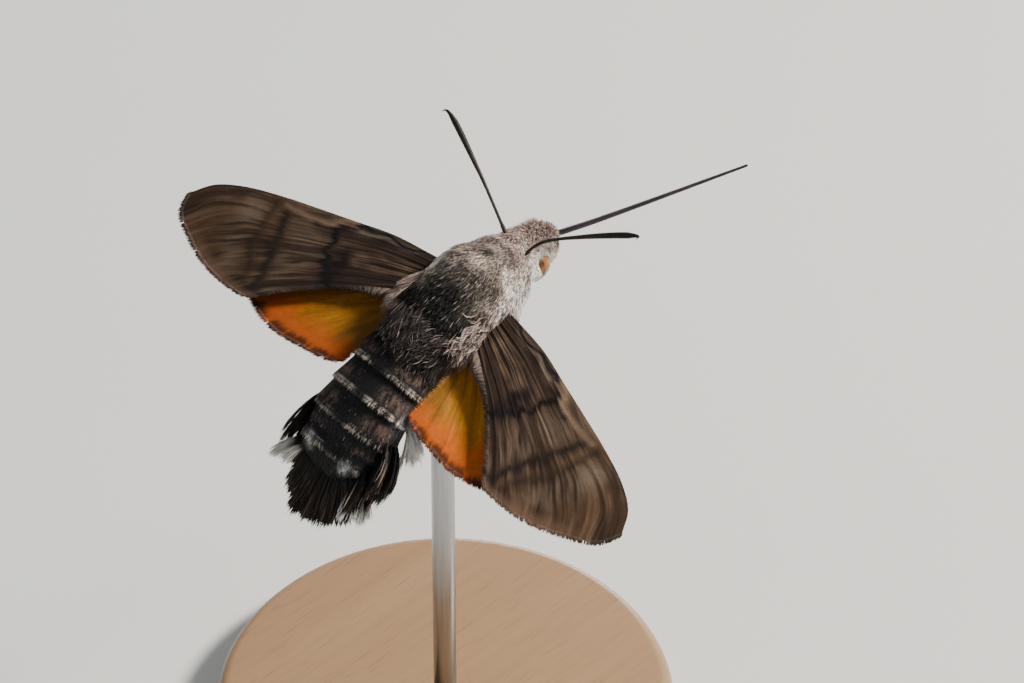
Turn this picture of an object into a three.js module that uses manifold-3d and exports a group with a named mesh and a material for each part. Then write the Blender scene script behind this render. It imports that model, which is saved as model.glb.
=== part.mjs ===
// Hummingbird hawk moth, life size, hovering on a plain display stand.
// Millimetres, +Z up. The head looks along -Y and the moth's left side is +X.
// The origin is the centre of the underside of the stand's base.

import * as THREE from 'three';
import { mergeVertices } from 'three/addons/utils/BufferGeometryUtils.js';
import Module from 'manifold-3d';

const wasm = await Module();
wasm.setup();

// Stand and pose
const GAP = 0.3;
const BASE_RADIUS = 18;
const BASE_HEIGHT = 4;
const BASE_BEVEL = 0.6;
const ROD_RADIUS = 0.9;
const FLIGHT_HEIGHT = 44;
const THORAX_AHEAD_OF_BASE = 3.4;
const BANK = THREE.MathUtils.degToRad(6);

// How finely solids are joined and cleaned
const MERGE_DISTANCE = 1e-5;
const SIMPLIFY_DISTANCE = 0.004;
const BASE_SIDES = 48;
const ROD_SIDES = 16;
const TUBE_SIDES = 8;

// The axis of the body in its plane of symmetry, from the snout to the end of the tail: y, z
const SPINE = new THREE.CatmullRomCurve3([
  new THREE.Vector3(0, -8.6, 0.5),
  new THREE.Vector3(0, -5.6, 0.75),
  new THREE.Vector3(0, -3.2, 0.75),
  new THREE.Vector3(0, 0, 0),
  new THREE.Vector3(0, 4.5, -1.7),
  new THREE.Vector3(0, 7.8, -3.4),
  new THREE.Vector3(0, 10.5, -5.3),
  new THREE.Vector3(0, 12.8, -7.5),
  new THREE.Vector3(0, 15.1, -9.8),
  new THREE.Vector3(0, 17.0, -12.3),
], false, 'centripetal');
const SPINE_LENGTH = SPINE.getLength();

// Half sizes of the body at distances along its axis from the snout
const HEAD_GIRTHS = [
  { at: 0.7, wide: 0.75, up: 0.85, down: 0.5 },
  { at: 1.5, wide: 1.2, up: 1.45, down: 1.2 },
  { at: 2.6, wide: 1.75, up: 1.95, down: 1.75 },
  { at: 3.7, wide: 2.05, up: 2.15, down: 2.05 },
  { at: 4.6, wide: 2.1, up: 2.2, down: 2.15 },
];
const COLLAR_GIRTHS = [
  { at: 4.9, wide: 2.3, up: 2.3, down: 2.25 },
  { at: 5.6, wide: 2.75, up: 2.6, down: 2.6 },
  { at: 6.3, wide: 3.1, up: 2.85, down: 2.9 },
];
const THORAX_GIRTHS = [
  { at: 6.6, wide: 3.2, up: 2.95, down: 3.0 },
  { at: 8.0, wide: 3.75, up: 3.3, down: 3.5 },
  { at: 9.8, wide: 3.95, up: 3.45, down: 3.7 },
  { at: 11.8, wide: 3.8, up: 3.3, down: 3.4 },
  { at: 13.6, wide: 3.5, up: 2.95, down: 2.9 },
  { at: 15.0, wide: 3.2, up: 2.6, down: 2.5 },
];
const ABDOMEN_GIRTHS = [
  { at: 15.3, wide: 3.1, up: 2.5, down: 2.4 },
  { at: 17.0, wide: 3.4, up: 2.6, down: 2.5 },
  { at: 19.5, wide: 3.7, up: 2.55, down: 2.6 },
  { at: 22.0, wide: 3.9, up: 2.3, down: 2.5 },
  { at: 24.6, wide: 3.5, up: 1.8, down: 2.1 },
];
const TAIL_GIRTHS = [
  { at: 24.9, wide: 3.3, up: 1.6, down: 1.8 },
  { at: 25.8, wide: 2.7, up: 1.0, down: 1.2 },
  { at: 26.8, wide: 1.9, up: 0.4, down: 0.5 },
];
const BODY_SIDES = 22;
const SEGMENT_LENGTH = 1.85;
const SEGMENT_STEP = 0.14;

// Locks of long scales. Each tuft grows from a stretch of the body: roots from one distance to
// another along the axis, spread round the side between two turns in degrees (0 is the left side,
// 90 the back), lifted off the body by an angle, and bent back towards the tail.
const LOCK_STATIONS = [0, 0.3, 0.65, 1];
const LOCK_FULLNESS = [0.8, 1, 0.92, 0.3];
const LOCK_SUNK = 0.9;
const LOCK_EDGE_SHARE = 1.4;
const FRONT_WHITE_TUFT = {
  count: 5, from: 19.0, to: 20.0, turns: [-30, 14], lift: 38, length: 3.7, width: 1.15, thick: 0.6,
};
const BLACK_TUFT = {
  count: 6, from: 21.6, to: 22.9, turns: [-38, 24], lift: 29, length: 3.9, width: 1.4, thick: 0.65,
};
const REAR_WHITE_TUFT = {
  count: 4, from: 25.2, to: 25.5, turns: [-28, 20], lift: 24, length: 2.9, width: 1.1, thick: 0.55,
};
const SHOULDER_TUFT = {
  count: 4, from: 10.4, to: 12.4, turns: [36, 62], lift: 12, length: 3.5, width: 1.2, thick: 0.55,
};
const RUMP_TUFT = {
  count: 4, from: 13.0, to: 13.8, turns: [36, 82], lift: 10, length: 3.0, width: 1.4, thick: 0.6,
};
const FAN = { count: 8, layers: 2, rootAt: 25.2, halfWidth: 2.4, splay: 24, length: 4.9, shorter: 1.3 };
const FAN_LOCK = { width: 1.35, thick: 0.55, layerGap: 1.7, stagger: 0.2, closing: 0.17 };
const LOCK_VARIATION = 0.12;
const LOCK_BEND = 0.5;
const LOCK_SEED = 7;
const RANDOM_STEP = { times: 1664525, plus: 1013904223, range: 2 ** 32 };

// Head
const EYE_CENTRE = new THREE.Vector3(1.42, -5.3, 0.42);
const EYE_RADIUS = 1.15;
const EYE_SIDES = 16;
const EYE_BANDS = 10;
const PALP_HALF_WIDTH = 0.5;
const PALP_HALF_HEIGHT = 0.62;
const PALP_ROOT = new THREE.Vector3(0.65, -6.3, -1.2);
const PALP_TIP = new THREE.Vector3(0.62, -8.05, 0.75);
const PALP_BEND = new THREE.Vector3(0.05, -0.35, -0.35);
const PALP_END_FULLNESS = 0.3;
const PALP_END_SHARE = 0.12;
const PALP_SIDES = 10;
const PALP_STEPS = 7;
const ANTENNA_ROOT = new THREE.Vector3(0.95, -3.95, 2.75);
const ANTENNA_MIDDLE_LEFT = new THREE.Vector3(5.65, -5.35, 5.2);
const ANTENNA_TIP_LEFT = new THREE.Vector3(10.3, -6.6, 6.8);
const ANTENNA_MIDDLE_RIGHT = new THREE.Vector3(4.5, -6.3, 4.9);
const ANTENNA_TIP_RIGHT = new THREE.Vector3(8.6, -7.8, 7.1);
const ANTENNA_SCAPE_RADIUS = 0.4;
const ANTENNA_SHAFT_RADIUS = 0.25;
const ANTENNA_CLUB_RADIUS = 0.33;
const ANTENNA_TIP_RADIUS = 0.08;
const ANTENNA_HOOK = new THREE.Vector3(0.1, 0.35, 0.05);
const ANTENNA_SHARES = { scape: 0.05, club: 0.8, clubSpread: 0.2, taper: 0.1 };
const ANTENNA_STEPS = 20;
const PROBOSCIS_ROOT = new THREE.Vector3(0, -8.75, 0.2);
const PROBOSCIS_MIDDLE = new THREE.Vector3(0, -12.9, -1.2);
const PROBOSCIS_TIP = new THREE.Vector3(0, -30.5, -6.6);
const PROBOSCIS_RADIUS = 0.3;
const PROBOSCIS_TAPER = 0.55;
const PROBOSCIS_STEPS = 16;

// Wings, in the wing's own plane: x outward from the root, y rearward
const WING_ROOT = new THREE.Vector3(4.5, 0, 0.3);
const WING_PITCH = THREE.MathUtils.degToRad(16);
const WING_THICKNESS = 0.5;
const VEIN_HEIGHT = 0.16;
const VEIN_HALF_WIDTH = 0.016;
const VEIN_FADE = 0.6;
const WING_DROOP = 0.5;
const FOREWING_REACH = 18.4;
const HINDWING_DROP = 1.2;
const FOREWING = {
  veins: [0.03, 0.14, 0.27, 0.4, 0.53, 0.66, 0.79, 0.92],
  rows: 8,
  root: [[-2.6, -0.4], [-2.2, 2.6]],
  front: [[-2.6, -0.4], [0, 0], [3.4, 0.6], [6.5, 1.6], [9.6, 2.6], [12.6, 3.6], [15.5, 4.8], [17.4, 6.1],
    [18.4, 7.8]],
  edge: [[18.4, 7.8], [17.6, 9.4], [15.4, 10.6], [12.8, 11.5], [10.4, 11.8], [8.2, 11.7]],
  rear: [[-2.2, 2.6], [0.8, 4.7], [2.7, 6.0], [4.8, 7.8], [6.4, 9.5], [8.2, 11.7]],
};
const HINDWING = {
  veins: [0.05, 0.2, 0.36, 0.52, 0.68, 0.84],
  rows: 6,
  root: [[-2.4, 1.6], [-2.0, 4.4]],
  front: [[-2.4, 1.6], [2.0, 2.6], [6.0, 4.6], [9.2, 6.6], [10.8, 8.4]],
  edge: [[10.8, 8.4], [10.2, 10.0], [8.4, 11.0], [6.6, 11.6], [4.6, 11.8], [2.4, 11.5], [0.4, 11.1],
    [-0.7, 10.7]],
  rear: [[-2.0, 4.4], [-1.1, 6.4], [-0.9, 8.6], [-0.7, 10.7]],
};

// Legs: knee and foot places of the left side, folded under the thorax
const LEG_RADIUS = 0.36;
const FOOT_RADIUS = 0.25;
const LEG_STEPS = 14;
const LEGS = {
  front: [[1.4, -2.2, -2.2], [2.0, -3.7, -3.5], [1.5, -1.9, -4.7], [1.3, 0.9, -5.1]],
  middle: [[2.0, -0.4, -2.6], [2.8, -1.0, -4.4], [2.5, 1.8, -5.8], [2.3, 4.6, -7.0]],
  hind: [[2.3, 2.0, -3.0], [3.2, 2.8, -4.7], [3.0, 6.2, -7.2], [2.6, 10.0, -10.4]],
};

const COLOURS = {
  fur: 0x6f6658,
  darkFur: 0x2a221c,
  tail: 0x17120f,
  eye: 0x7a4a1e,
  palp: 0xcfc4b0,
  feeler: 0x3a2c26,
  forewing: 0x4c4038,
  hindwing: 0xc8761e,
  leg: 0x9a8c78,
  base: 0xd9c7a4,
  rod: 0xb9bcc0,
};

function finish(colour, roughness = 0.8, metalness = 0) {
  return new THREE.MeshStandardMaterial({ color: colour, roughness, metalness });
}

// A closed solid from rings of points that all have the same count, with a flat fan at each end
function loftSolid(rings) {
  const count = rings[0].length;
  const points = rings.flat();
  const triangles = [];
  for (let ring = 0; ring + 1 < rings.length; ring += 1) {
    for (let side = 0; side < count; side += 1) {
      const here = ring * count + side;
      const next = ring * count + (side + 1) % count;
      triangles.push([here, next, here + count], [next, next + count, here + count]);
    }
  }
  const last = (rings.length - 1) * count;
  for (let side = 1; side + 1 < count; side += 1) {
    triangles.push([0, side + 1, side], [last, last + side, last + side + 1]);
  }
  return meshSolid(points, triangles);
}

// A solid from loose points and triangles, turned right side out
function meshSolid(points, triangles) {
  const loose = new THREE.BufferGeometry();
  const corners = triangles.flat().flatMap((index) => points[index].toArray());
  loose.setAttribute('position', new THREE.Float32BufferAttribute(corners, 3));
  return geometrySolid(loose);
}

function geometrySolid(geometry) {
  const bare = geometry.clone();
  bare.deleteAttribute('normal');
  bare.deleteAttribute('uv');
  const merged = mergeVertices(bare, MERGE_DISTANCE);
  const triVerts = new Uint32Array(merged.index.array);
  if (signedVolume(merged.attributes.position, triVerts) < 0) {
    for (let index = 0; index < triVerts.length; index += 3) {
      [triVerts[index], triVerts[index + 1]] = [triVerts[index + 1], triVerts[index]];
    }
  }
  const vertProperties = new Float32Array(merged.attributes.position.array);
  return new wasm.Manifold(new wasm.Mesh({ numProp: 3, vertProperties, triVerts }));
}

function signedVolume(position, triVerts) {
  const [a, b, c] = [new THREE.Vector3(), new THREE.Vector3(), new THREE.Vector3()];
  let volume = 0;
  for (let index = 0; index < triVerts.length; index += 3) {
    a.fromBufferAttribute(position, triVerts[index]);
    b.fromBufferAttribute(position, triVerts[index + 1]);
    c.fromBufferAttribute(position, triVerts[index + 2]);
    volume += a.dot(b.cross(c)) / 6;
  }
  return volume;
}

// The largest closed surface of a solid, with slivers left by cutting taken out
function largest(solid) {
  const bodies = solid.simplify(SIMPLIFY_DISTANCE).decompose();
  return bodies.reduce((best, body) => (body.volume() > best.volume() ? body : best));
}

function solidGeometry(solid) {
  const mesh = largest(solid).getMesh();
  const geometry = new THREE.BufferGeometry();
  geometry.setAttribute('position', new THREE.BufferAttribute(new Float32Array(mesh.vertProperties), 3));
  geometry.setIndex(new THREE.BufferAttribute(new Uint32Array(mesh.triVerts), 1));
  geometry.computeVertexNormals();
  return geometry;
}

function addNode(group, name, solid, material) {
  const mesh = new THREE.Mesh(solidGeometry(solid), material);
  mesh.name = name;
  group.add(mesh);
  return mesh;
}

// Point, direction and upward normal of the body axis at a distance from the snout
function spineFrame(at) {
  const along = THREE.MathUtils.clamp(at / SPINE_LENGTH, 0, 1);
  const point = SPINE.getPointAt(along);
  const ahead = SPINE.getTangentAt(along);
  const past = at - along * SPINE_LENGTH;
  point.addScaledVector(ahead, past);
  const up = new THREE.Vector3(0, -ahead.z, ahead.y);
  return { point, ahead, up };
}

function girthAt(girths, at) {
  const upper = girths.findIndex((girth) => girth.at >= at);
  if (upper === 0) return girths[0];
  if (upper < 0) return girths[girths.length - 1];
  const before = girths[upper - 1];
  const after = girths[upper];
  const share = (at - before.at) / (after.at - before.at);
  const blend = (key) => THREE.MathUtils.lerp(before[key], after[key], share);
  return { at, wide: blend('wide'), up: blend('up'), down: blend('down') };
}

// A ring across the body axis: an ellipse with its own upper and lower half heights
function bodyRing(at, girth, grow = 0) {
  const { point, up } = spineFrame(at);
  const ring = [];
  for (let side = 0; side < BODY_SIDES; side += 1) {
    const turn = (side / BODY_SIDES) * Math.PI * 2;
    const rise = Math.sin(turn);
    const height = rise > 0 ? girth.up : girth.down;
    const place = point.clone().addScaledVector(up, rise * (height + grow));
    place.x = Math.cos(turn) * (girth.wide + grow);
    ring.push(place);
  }
  return ring;
}

// A repeatable random number from 0 to 1
function seededRandom(seed) {
  let state = seed;
  return () => {
    state = (state * RANDOM_STEP.times + RANDOM_STEP.plus) % RANDOM_STEP.range;
    return state / RANDOM_STEP.range;
  };
}

// A flat tapered lock from its root along a direction, which bends towards another as it goes
function lockSolid({ root, start, end, broad, size }, grow = 0) {
  const rings = LOCK_STATIONS.map((share, index) => {
    const way = start.clone().lerp(end, share).normalize();
    const centre = root.clone().addScaledVector(start, -LOCK_SUNK);
    const bent = start.clone().lerp(end, share * LOCK_BEND);
    centre.addScaledVector(bent, (size.length + grow + LOCK_SUNK) * share);
    const side = broad.clone().addScaledVector(way, -broad.dot(way)).normalize();
    const thin = new THREE.Vector3().crossVectors(way, side);
    const halfWidth = (size.width / 2) * LOCK_FULLNESS[index] + grow * LOCK_EDGE_SHARE;
    const halfThick = (size.thick / 2) * LOCK_FULLNESS[index] + grow * LOCK_EDGE_SHARE;
    return [
      centre.clone().addScaledVector(side, halfWidth),
      centre.clone().addScaledVector(thin, halfThick),
      centre.clone().addScaledVector(side, -halfWidth),
      centre.clone().addScaledVector(thin, -halfThick),
    ];
  });
  return loftSolid(rings);
}

// The locks of one tuft on the left or right of a stretch of the body
function tuftLocks(girths, tuft, side, random) {
  const locks = [];
  for (let index = 0; index < tuft.count; index += 1) {
    const share = index / (tuft.count - 1);
    const at = THREE.MathUtils.lerp(tuft.from, tuft.to, (share * 2) % 1.001);
    const turn = THREE.MathUtils.degToRad(THREE.MathUtils.lerp(tuft.turns[0], tuft.turns[1], share));
    const { point, ahead, up } = spineFrame(at);
    const girth = girthAt(girths, at);
    const across = new THREE.Vector3(side, 0, 0);
    const height = turn > 0 ? girth.up : girth.down;
    const root = point.clone().addScaledVector(across, Math.cos(turn) * girth.wide);
    root.addScaledVector(up, Math.sin(turn) * height);
    const out = across.clone().multiplyScalar(Math.cos(turn)).addScaledVector(up, Math.sin(turn));
    const broad = across.clone().multiplyScalar(-Math.sin(turn)).addScaledVector(up, Math.cos(turn));
    const lift = THREE.MathUtils.degToRad(tuft.lift * (1 + LOCK_VARIATION * (random() - 0.5) * 2));
    const start = ahead.clone().multiplyScalar(Math.cos(lift)).addScaledVector(out, Math.sin(lift));
    const end = ahead.clone().multiplyScalar(Math.cos(lift / 2)).addScaledVector(out, Math.sin(lift / 2));
    const length = tuft.length * (1 + LOCK_VARIATION * (random() - 0.5) * 2);
    locks.push({ root, start, end, broad, size: { length, width: tuft.width, thick: tuft.thick } });
  }
  return locks;
}

// The tail fan: layers of locks spread across the end of the body
function fanLocks(random) {
  const locks = [];
  for (let layer = 0; layer < FAN.layers; layer += 1) {
    const count = FAN.count - layer;
    for (let index = 0; index < count; index += 1) {
      const across = (index / (count - 1)) * 2 - 1;
      const { point, ahead, up } = spineFrame(FAN.rootAt);
      const stagger = index % 2 === 0 ? FAN_LOCK.stagger : -FAN_LOCK.stagger;
      const root = point.clone().addScaledVector(up, (0.5 - layer) * FAN_LOCK.layerGap + stagger);
      root.x = across * FAN.halfWidth;
      const splay = THREE.MathUtils.degToRad(FAN.splay * across);
      const way = ahead.clone().multiplyScalar(Math.cos(splay));
      way.x += Math.sin(splay);
      const shorter = FAN.shorter * across * across;
      const length = (FAN.length - shorter) * (1 + LOCK_VARIATION * (random() - 0.5));
      const broad = new THREE.Vector3(1, 0, 0);
      const size = { length, width: FAN_LOCK.width, thick: FAN_LOCK.thick };
      const closing = up.clone().multiplyScalar((layer - 0.5) * 2 * FAN_LOCK.closing);
      const bent = way.clone().add(closing);
      locks.push({ root, start: bent, end: bent, broad, size });
    }
  }
  return locks;
}

function fused(core, locks) {
  return wasm.Manifold.union([core, ...locks.map((lock) => lockSolid(lock))]);
}

// What keeps another node clear of a set of locks
function lockClearance(locks) {
  return wasm.Manifold.union(locks.map((lock) => lockSolid(lock, GAP)));
}

function bodyStretch(girths, grow = 0) {
  const first = girths[0];
  const last = girths[girths.length - 1];
  const rings = girths.map((girth) => bodyRing(girth.at, girth, grow));
  if (grow > 0) {
    rings.unshift(bodyRing(first.at - grow, first, grow));
    rings.push(bodyRing(last.at + grow, last, grow));
  }
  return loftSolid(rings);
}

// The rings of the abdomen, stepped where each segment overlaps the next
function abdomenSolid(grow = 0) {
  const from = ABDOMEN_GIRTHS[0].at;
  const to = ABDOMEN_GIRTHS[ABDOMEN_GIRTHS.length - 1].at;
  const count = Math.round((to - from) / SEGMENT_LENGTH);
  const length = (to - from) / count;
  const rings = [];
  for (let segment = 0; segment < count; segment += 1) {
    const start = from + segment * length + (segment === 0 ? 0 : SEGMENT_STEP);
    const end = from + (segment + 1) * length;
    rings.push(bodyRing(start, girthAt(ABDOMEN_GIRTHS, start), grow - SEGMENT_STEP));
    rings.push(bodyRing(end, girthAt(ABDOMEN_GIRTHS, end), grow + SEGMENT_STEP));
  }
  return loftSolid(rings);
}

// A tube along a curve, with a radius that follows the share of the way
function tubeSolid(curve, radiusAt, steps, grow = 0) {
  const frames = curve.computeFrenetFrames(steps, false);
  const rings = [];
  for (let step = 0; step <= steps; step += 1) {
    const share = step / steps;
    const centre = curve.getPointAt(share);
    const radius = radiusAt(share) + grow;
    const ring = [];
    for (let side = 0; side < TUBE_SIDES; side += 1) {
      const turn = (side / TUBE_SIDES) * Math.PI * 2;
      const place = centre.clone();
      place.addScaledVector(frames.normals[step], Math.cos(turn) * radius);
      place.addScaledVector(frames.binormals[step], Math.sin(turn) * radius);
      ring.push(place);
    }
    rings.push(ring);
  }
  return loftSolid(rings);
}

function curveThrough(points) {
  return new THREE.CatmullRomCurve3(points, false, 'centripetal');
}

function ballSolid(centre, radius, grow = 0) {
  const ball = new THREE.SphereGeometry(radius + grow, EYE_SIDES, EYE_BANDS);
  ball.translate(centre.x, centre.y, centre.z);
  return geometrySolid(ball);
}

function mirrored(point, side) {
  return new THREE.Vector3(point.x * side, point.y, point.z);
}

// A palp: a spindle that curves up in front of the face
function palpSolid(side, grow = 0) {
  const bend = PALP_ROOT.clone().lerp(PALP_TIP, 0.5).add(PALP_BEND);
  const curve = curveThrough([PALP_ROOT, bend, PALP_TIP].map((point) => mirrored(point, side)));
  const rings = [];
  for (let step = 0; step <= PALP_STEPS; step += 1) {
    const share = step / PALP_STEPS;
    const centre = curve.getPointAt(share);
    const ahead = curve.getTangentAt(share);
    const up = new THREE.Vector3(0, -ahead.z, ahead.y).normalize();
    const bulge = Math.sin(Math.PI * THREE.MathUtils.lerp(PALP_END_SHARE, 1 - PALP_END_SHARE, share));
    const fullness = THREE.MathUtils.lerp(PALP_END_FULLNESS, 1, bulge);
    const ring = [];
    for (let corner = 0; corner < PALP_SIDES; corner += 1) {
      const turn = (corner / PALP_SIDES) * Math.PI * 2;
      const place = centre.clone().addScaledVector(up, Math.sin(turn) * (PALP_HALF_HEIGHT * fullness + grow));
      place.x += Math.cos(turn) * (PALP_HALF_WIDTH * fullness + grow);
      ring.push(place);
    }
    rings.push(ring);
  }
  return loftSolid(rings);
}

// An antenna: a thin shaft, a club before the end and a fine hooked tip
function antennaSolid(side, middle, tip) {
  const hook = tip.clone().add(ANTENNA_HOOK);
  const curve = curveThrough([ANTENNA_ROOT, middle, tip, hook].map((point) => mirrored(point, side)));
  const { scape, club, clubSpread, taper } = ANTENNA_SHARES;
  const radiusAt = (share) => {
    const clubShare = Math.exp(-(((share - club) / clubSpread) ** 2));
    const scapeShare = Math.exp(-((share / scape) ** 2));
    const full = THREE.MathUtils.lerp(ANTENNA_SHAFT_RADIUS, ANTENNA_CLUB_RADIUS, clubShare);
    const tapered = THREE.MathUtils.lerp(ANTENNA_TIP_RADIUS, full, Math.min(1, (1 - share) / taper));
    return tapered + (ANTENNA_SCAPE_RADIUS - ANTENNA_SHAFT_RADIUS) * scapeShare;
  };
  return tubeSolid(curve, radiusAt, ANTENNA_STEPS);
}

function proboscisSolid(grow = 0) {
  const curve = curveThrough([PROBOSCIS_ROOT, PROBOSCIS_MIDDLE, PROBOSCIS_TIP]);
  const radiusAt = (share) => PROBOSCIS_RADIUS * (1 - PROBOSCIS_TAPER * share);
  return tubeSolid(curve, radiusAt, PROBOSCIS_STEPS, grow);
}

function legSolid(points, side) {
  const places = points.map(([x, y, z]) => new THREE.Vector3(x * side, y, z));
  const radiusAt = (share) => THREE.MathUtils.lerp(LEG_RADIUS, FOOT_RADIUS, share);
  return tubeSolid(curveThrough(places), radiusAt, LEG_STEPS);
}

function planeCurve(points) {
  return curveThrough(points.map(([x, y]) => new THREE.Vector3(x, y, 0)));
}

// The columns across a wing: each vein is a crest with a foot on both sides
function wingColumns(veins) {
  const columns = [];
  veins.forEach((vein, index) => {
    const before = index === 0 ? 0 : veins[index - 1] + VEIN_HALF_WIDTH;
    columns.push({ across: (before + vein - VEIN_HALF_WIDTH) / 2, raised: 0 });
    columns.push({ across: vein - VEIN_HALF_WIDTH, raised: 0 });
    columns.push({ across: vein, raised: VEIN_HEIGHT });
    columns.push({ across: vein + VEIN_HALF_WIDTH, raised: 0 });
  });
  columns[0].across = 0;
  columns.push({ across: 1, raised: 0 });
  return columns;
}

// A wing as a plate between two surfaces alike, with its veins raised on both
function wingSolid(wing, drop, side) {
  const [front, edge, rear] = [wing.front, wing.edge, wing.rear].map(planeCurve);
  const [rootFront, rootRear] = wing.root.map(([x, y]) => new THREE.Vector3(x, y, 0));
  const [apex, corner] = [edge.getPointAt(0), edge.getPointAt(1)];
  const columns = wingColumns(wing.veins);
  const points = [];
  const surface = (across, out) => {
    const place = front.getPointAt(out).multiplyScalar(1 - across);
    place.addScaledVector(rear.getPointAt(out), across);
    place.addScaledVector(rootFront.clone().lerp(rootRear, across), 1 - out);
    place.addScaledVector(edge.getPointAt(across), out);
    place.addScaledVector(rootFront, -(1 - across) * (1 - out));
    place.addScaledVector(rootRear, -across * (1 - out));
    place.addScaledVector(apex, -(1 - across) * out);
    place.addScaledVector(corner, -across * out);
    return place;
  };
  for (const face of [1, -1]) {
    for (let row = 0; row <= wing.rows; row += 1) {
      for (const column of columns) {
        const place = surface(column.across, row / wing.rows);
        const fade = 1 - VEIN_FADE * (row / wing.rows);
        const droop = WING_DROOP * (place.x / FOREWING_REACH) ** 2;
        place.z = face * (WING_THICKNESS / 2 + column.raised * fade) - droop - drop;
        place.x *= side;
        points.push(place);
      }
    }
  }
  return meshSolid(points, plateTriangles(columns.length, wing.rows));
}

// Triangles of a plate whose two faces hold the same grid, closed around its rim
function plateTriangles(across, rows) {
  const triangles = [];
  const face = across * (rows + 1);
  for (let row = 0; row < rows; row += 1) {
    for (let column = 0; column + 1 < across; column += 1) {
      const a = row * across + column;
      const [b, c, d] = [a + 1, a + across, a + across + 1];
      triangles.push([a, b, c], [b, d, c]);
      triangles.push([face + a, face + c, face + b], [face + b, face + c, face + d]);
    }
  }
  const rim = [];
  for (let column = 0; column < across; column += 1) rim.push(column);
  for (let row = 1; row <= rows; row += 1) rim.push(row * across + across - 1);
  for (let column = across - 2; column >= 0; column -= 1) rim.push(rows * across + column);
  for (let row = rows - 1; row > 0; row -= 1) rim.push(row * across);
  rim.forEach((a, index) => {
    const b = rim[(index + 1) % rim.length];
    triangles.push([a, face + a, b], [b, face + a, face + b]);
  });
  return triangles;
}

// Where a wing's own plane lies on the body
function wingMatrix(side) {
  const turn = new THREE.Matrix4().makeRotationX(-WING_PITCH);
  return turn.setPosition(WING_ROOT.x * side, WING_ROOT.y, WING_ROOT.z);
}

const moth = new THREE.Group();
moth.position.set(0, -THORAX_AHEAD_OF_BASE, FLIGHT_HEIGHT);
moth.rotation.y = -BANK;

const SIDES = [['left', 1], ['right', -1]];
const headGrown = bodyStretch(HEAD_GIRTHS, GAP);
const collarGrown = bodyStretch(COLLAR_GIRTHS, GAP);
const thoraxGrown = bodyStretch(THORAX_GIRTHS, GAP);
const abdomenGrown = abdomenSolid(GAP);

function addHead(group) {
  let head = bodyStretch(HEAD_GIRTHS);
  for (const [, side] of SIDES) {
    head = head.subtract(ballSolid(mirrored(EYE_CENTRE, side), EYE_RADIUS, GAP));
    head = head.subtract(palpSolid(side, GAP));
  }
  head = head.subtract(proboscisSolid(GAP));
  addNode(group, 'head', head, finish(COLOURS.fur));
  for (const [name, side] of SIDES) {
    const eye = ballSolid(mirrored(EYE_CENTRE, side), EYE_RADIUS);
    addNode(group, `eye_${name}`, eye, finish(COLOURS.eye, 0.25));
    const palp = palpSolid(side).subtract(proboscisSolid(GAP));
    addNode(group, `palp_${name}`, palp, finish(COLOURS.palp));
  }
  addNode(group, 'proboscis', proboscisSolid(), finish(COLOURS.feeler, 0.5));
  const left = antennaSolid(1, ANTENNA_MIDDLE_LEFT, ANTENNA_TIP_LEFT);
  const right = antennaSolid(-1, ANTENNA_MIDDLE_RIGHT, ANTENNA_TIP_RIGHT);
  const clear = (antenna) => antenna.subtract(headGrown).subtract(collarGrown);
  addNode(group, 'antenna_left', clear(left), finish(COLOURS.feeler, 0.6));
  addNode(group, 'antenna_right', clear(right), finish(COLOURS.feeler, 0.6));
}

function addBody(group) {
  addNode(group, 'collar', bodyStretch(COLLAR_GIRTHS), finish(COLOURS.fur));
  const random = seededRandom(LOCK_SEED);
  const tufts = (girths, tuft) => SIDES.flatMap(([, side]) => tuftLocks(girths, tuft, side, random));
  const backTufts = [SHOULDER_TUFT, RUMP_TUFT].flatMap((tuft) => tufts(THORAX_GIRTHS, tuft));
  const sideTufts = [FRONT_WHITE_TUFT, BLACK_TUFT].flatMap((tuft) => tufts(ABDOMEN_GIRTHS, tuft));
  const tailLocks = fanLocks(random).concat(tufts(TAIL_GIRTHS, REAR_WHITE_TUFT));
  const thorax = fused(bodyStretch(THORAX_GIRTHS), backTufts).subtract(abdomenGrown);
  const abdomen = fused(abdomenSolid(), sideTufts);
  const tail = fused(bodyStretch(TAIL_GIRTHS), tailLocks).subtract(abdomenGrown);
  addNode(group, 'thorax', thorax, finish(COLOURS.fur));
  addNode(group, 'abdomen', abdomen, finish(COLOURS.darkFur));
  addNode(group, 'tail_fan', tail.subtract(lockClearance(sideTufts)), finish(COLOURS.tail));
}

function addWings(group) {
  const bodies = thoraxGrown.add(abdomenGrown).add(collarGrown);
  for (const [name, side] of SIDES) {
    const place = wingMatrix(side);
    const clearance = bodies.transform(place.clone().invert().elements);
    const fore = wingSolid(FOREWING, 0, side).subtract(clearance);
    const hind = wingSolid(HINDWING, HINDWING_DROP, side).subtract(clearance);
    const forewing = addNode(group, `forewing_${name}`, fore, finish(COLOURS.forewing));
    const hindwing = addNode(group, `hindwing_${name}`, hind, finish(COLOURS.hindwing));
    for (const mesh of [forewing, hindwing]) {
      mesh.applyMatrix4(place);
    }
  }
}

function addLegs(group) {
  for (const [leg, points] of Object.entries(LEGS)) {
    for (const [name, side] of SIDES) {
      const solid = legSolid(points, side).subtract(thoraxGrown).subtract(collarGrown).subtract(abdomenGrown);
      addNode(group, `leg_${leg}_${name}`, solid, finish(COLOURS.leg));
    }
  }
}

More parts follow.
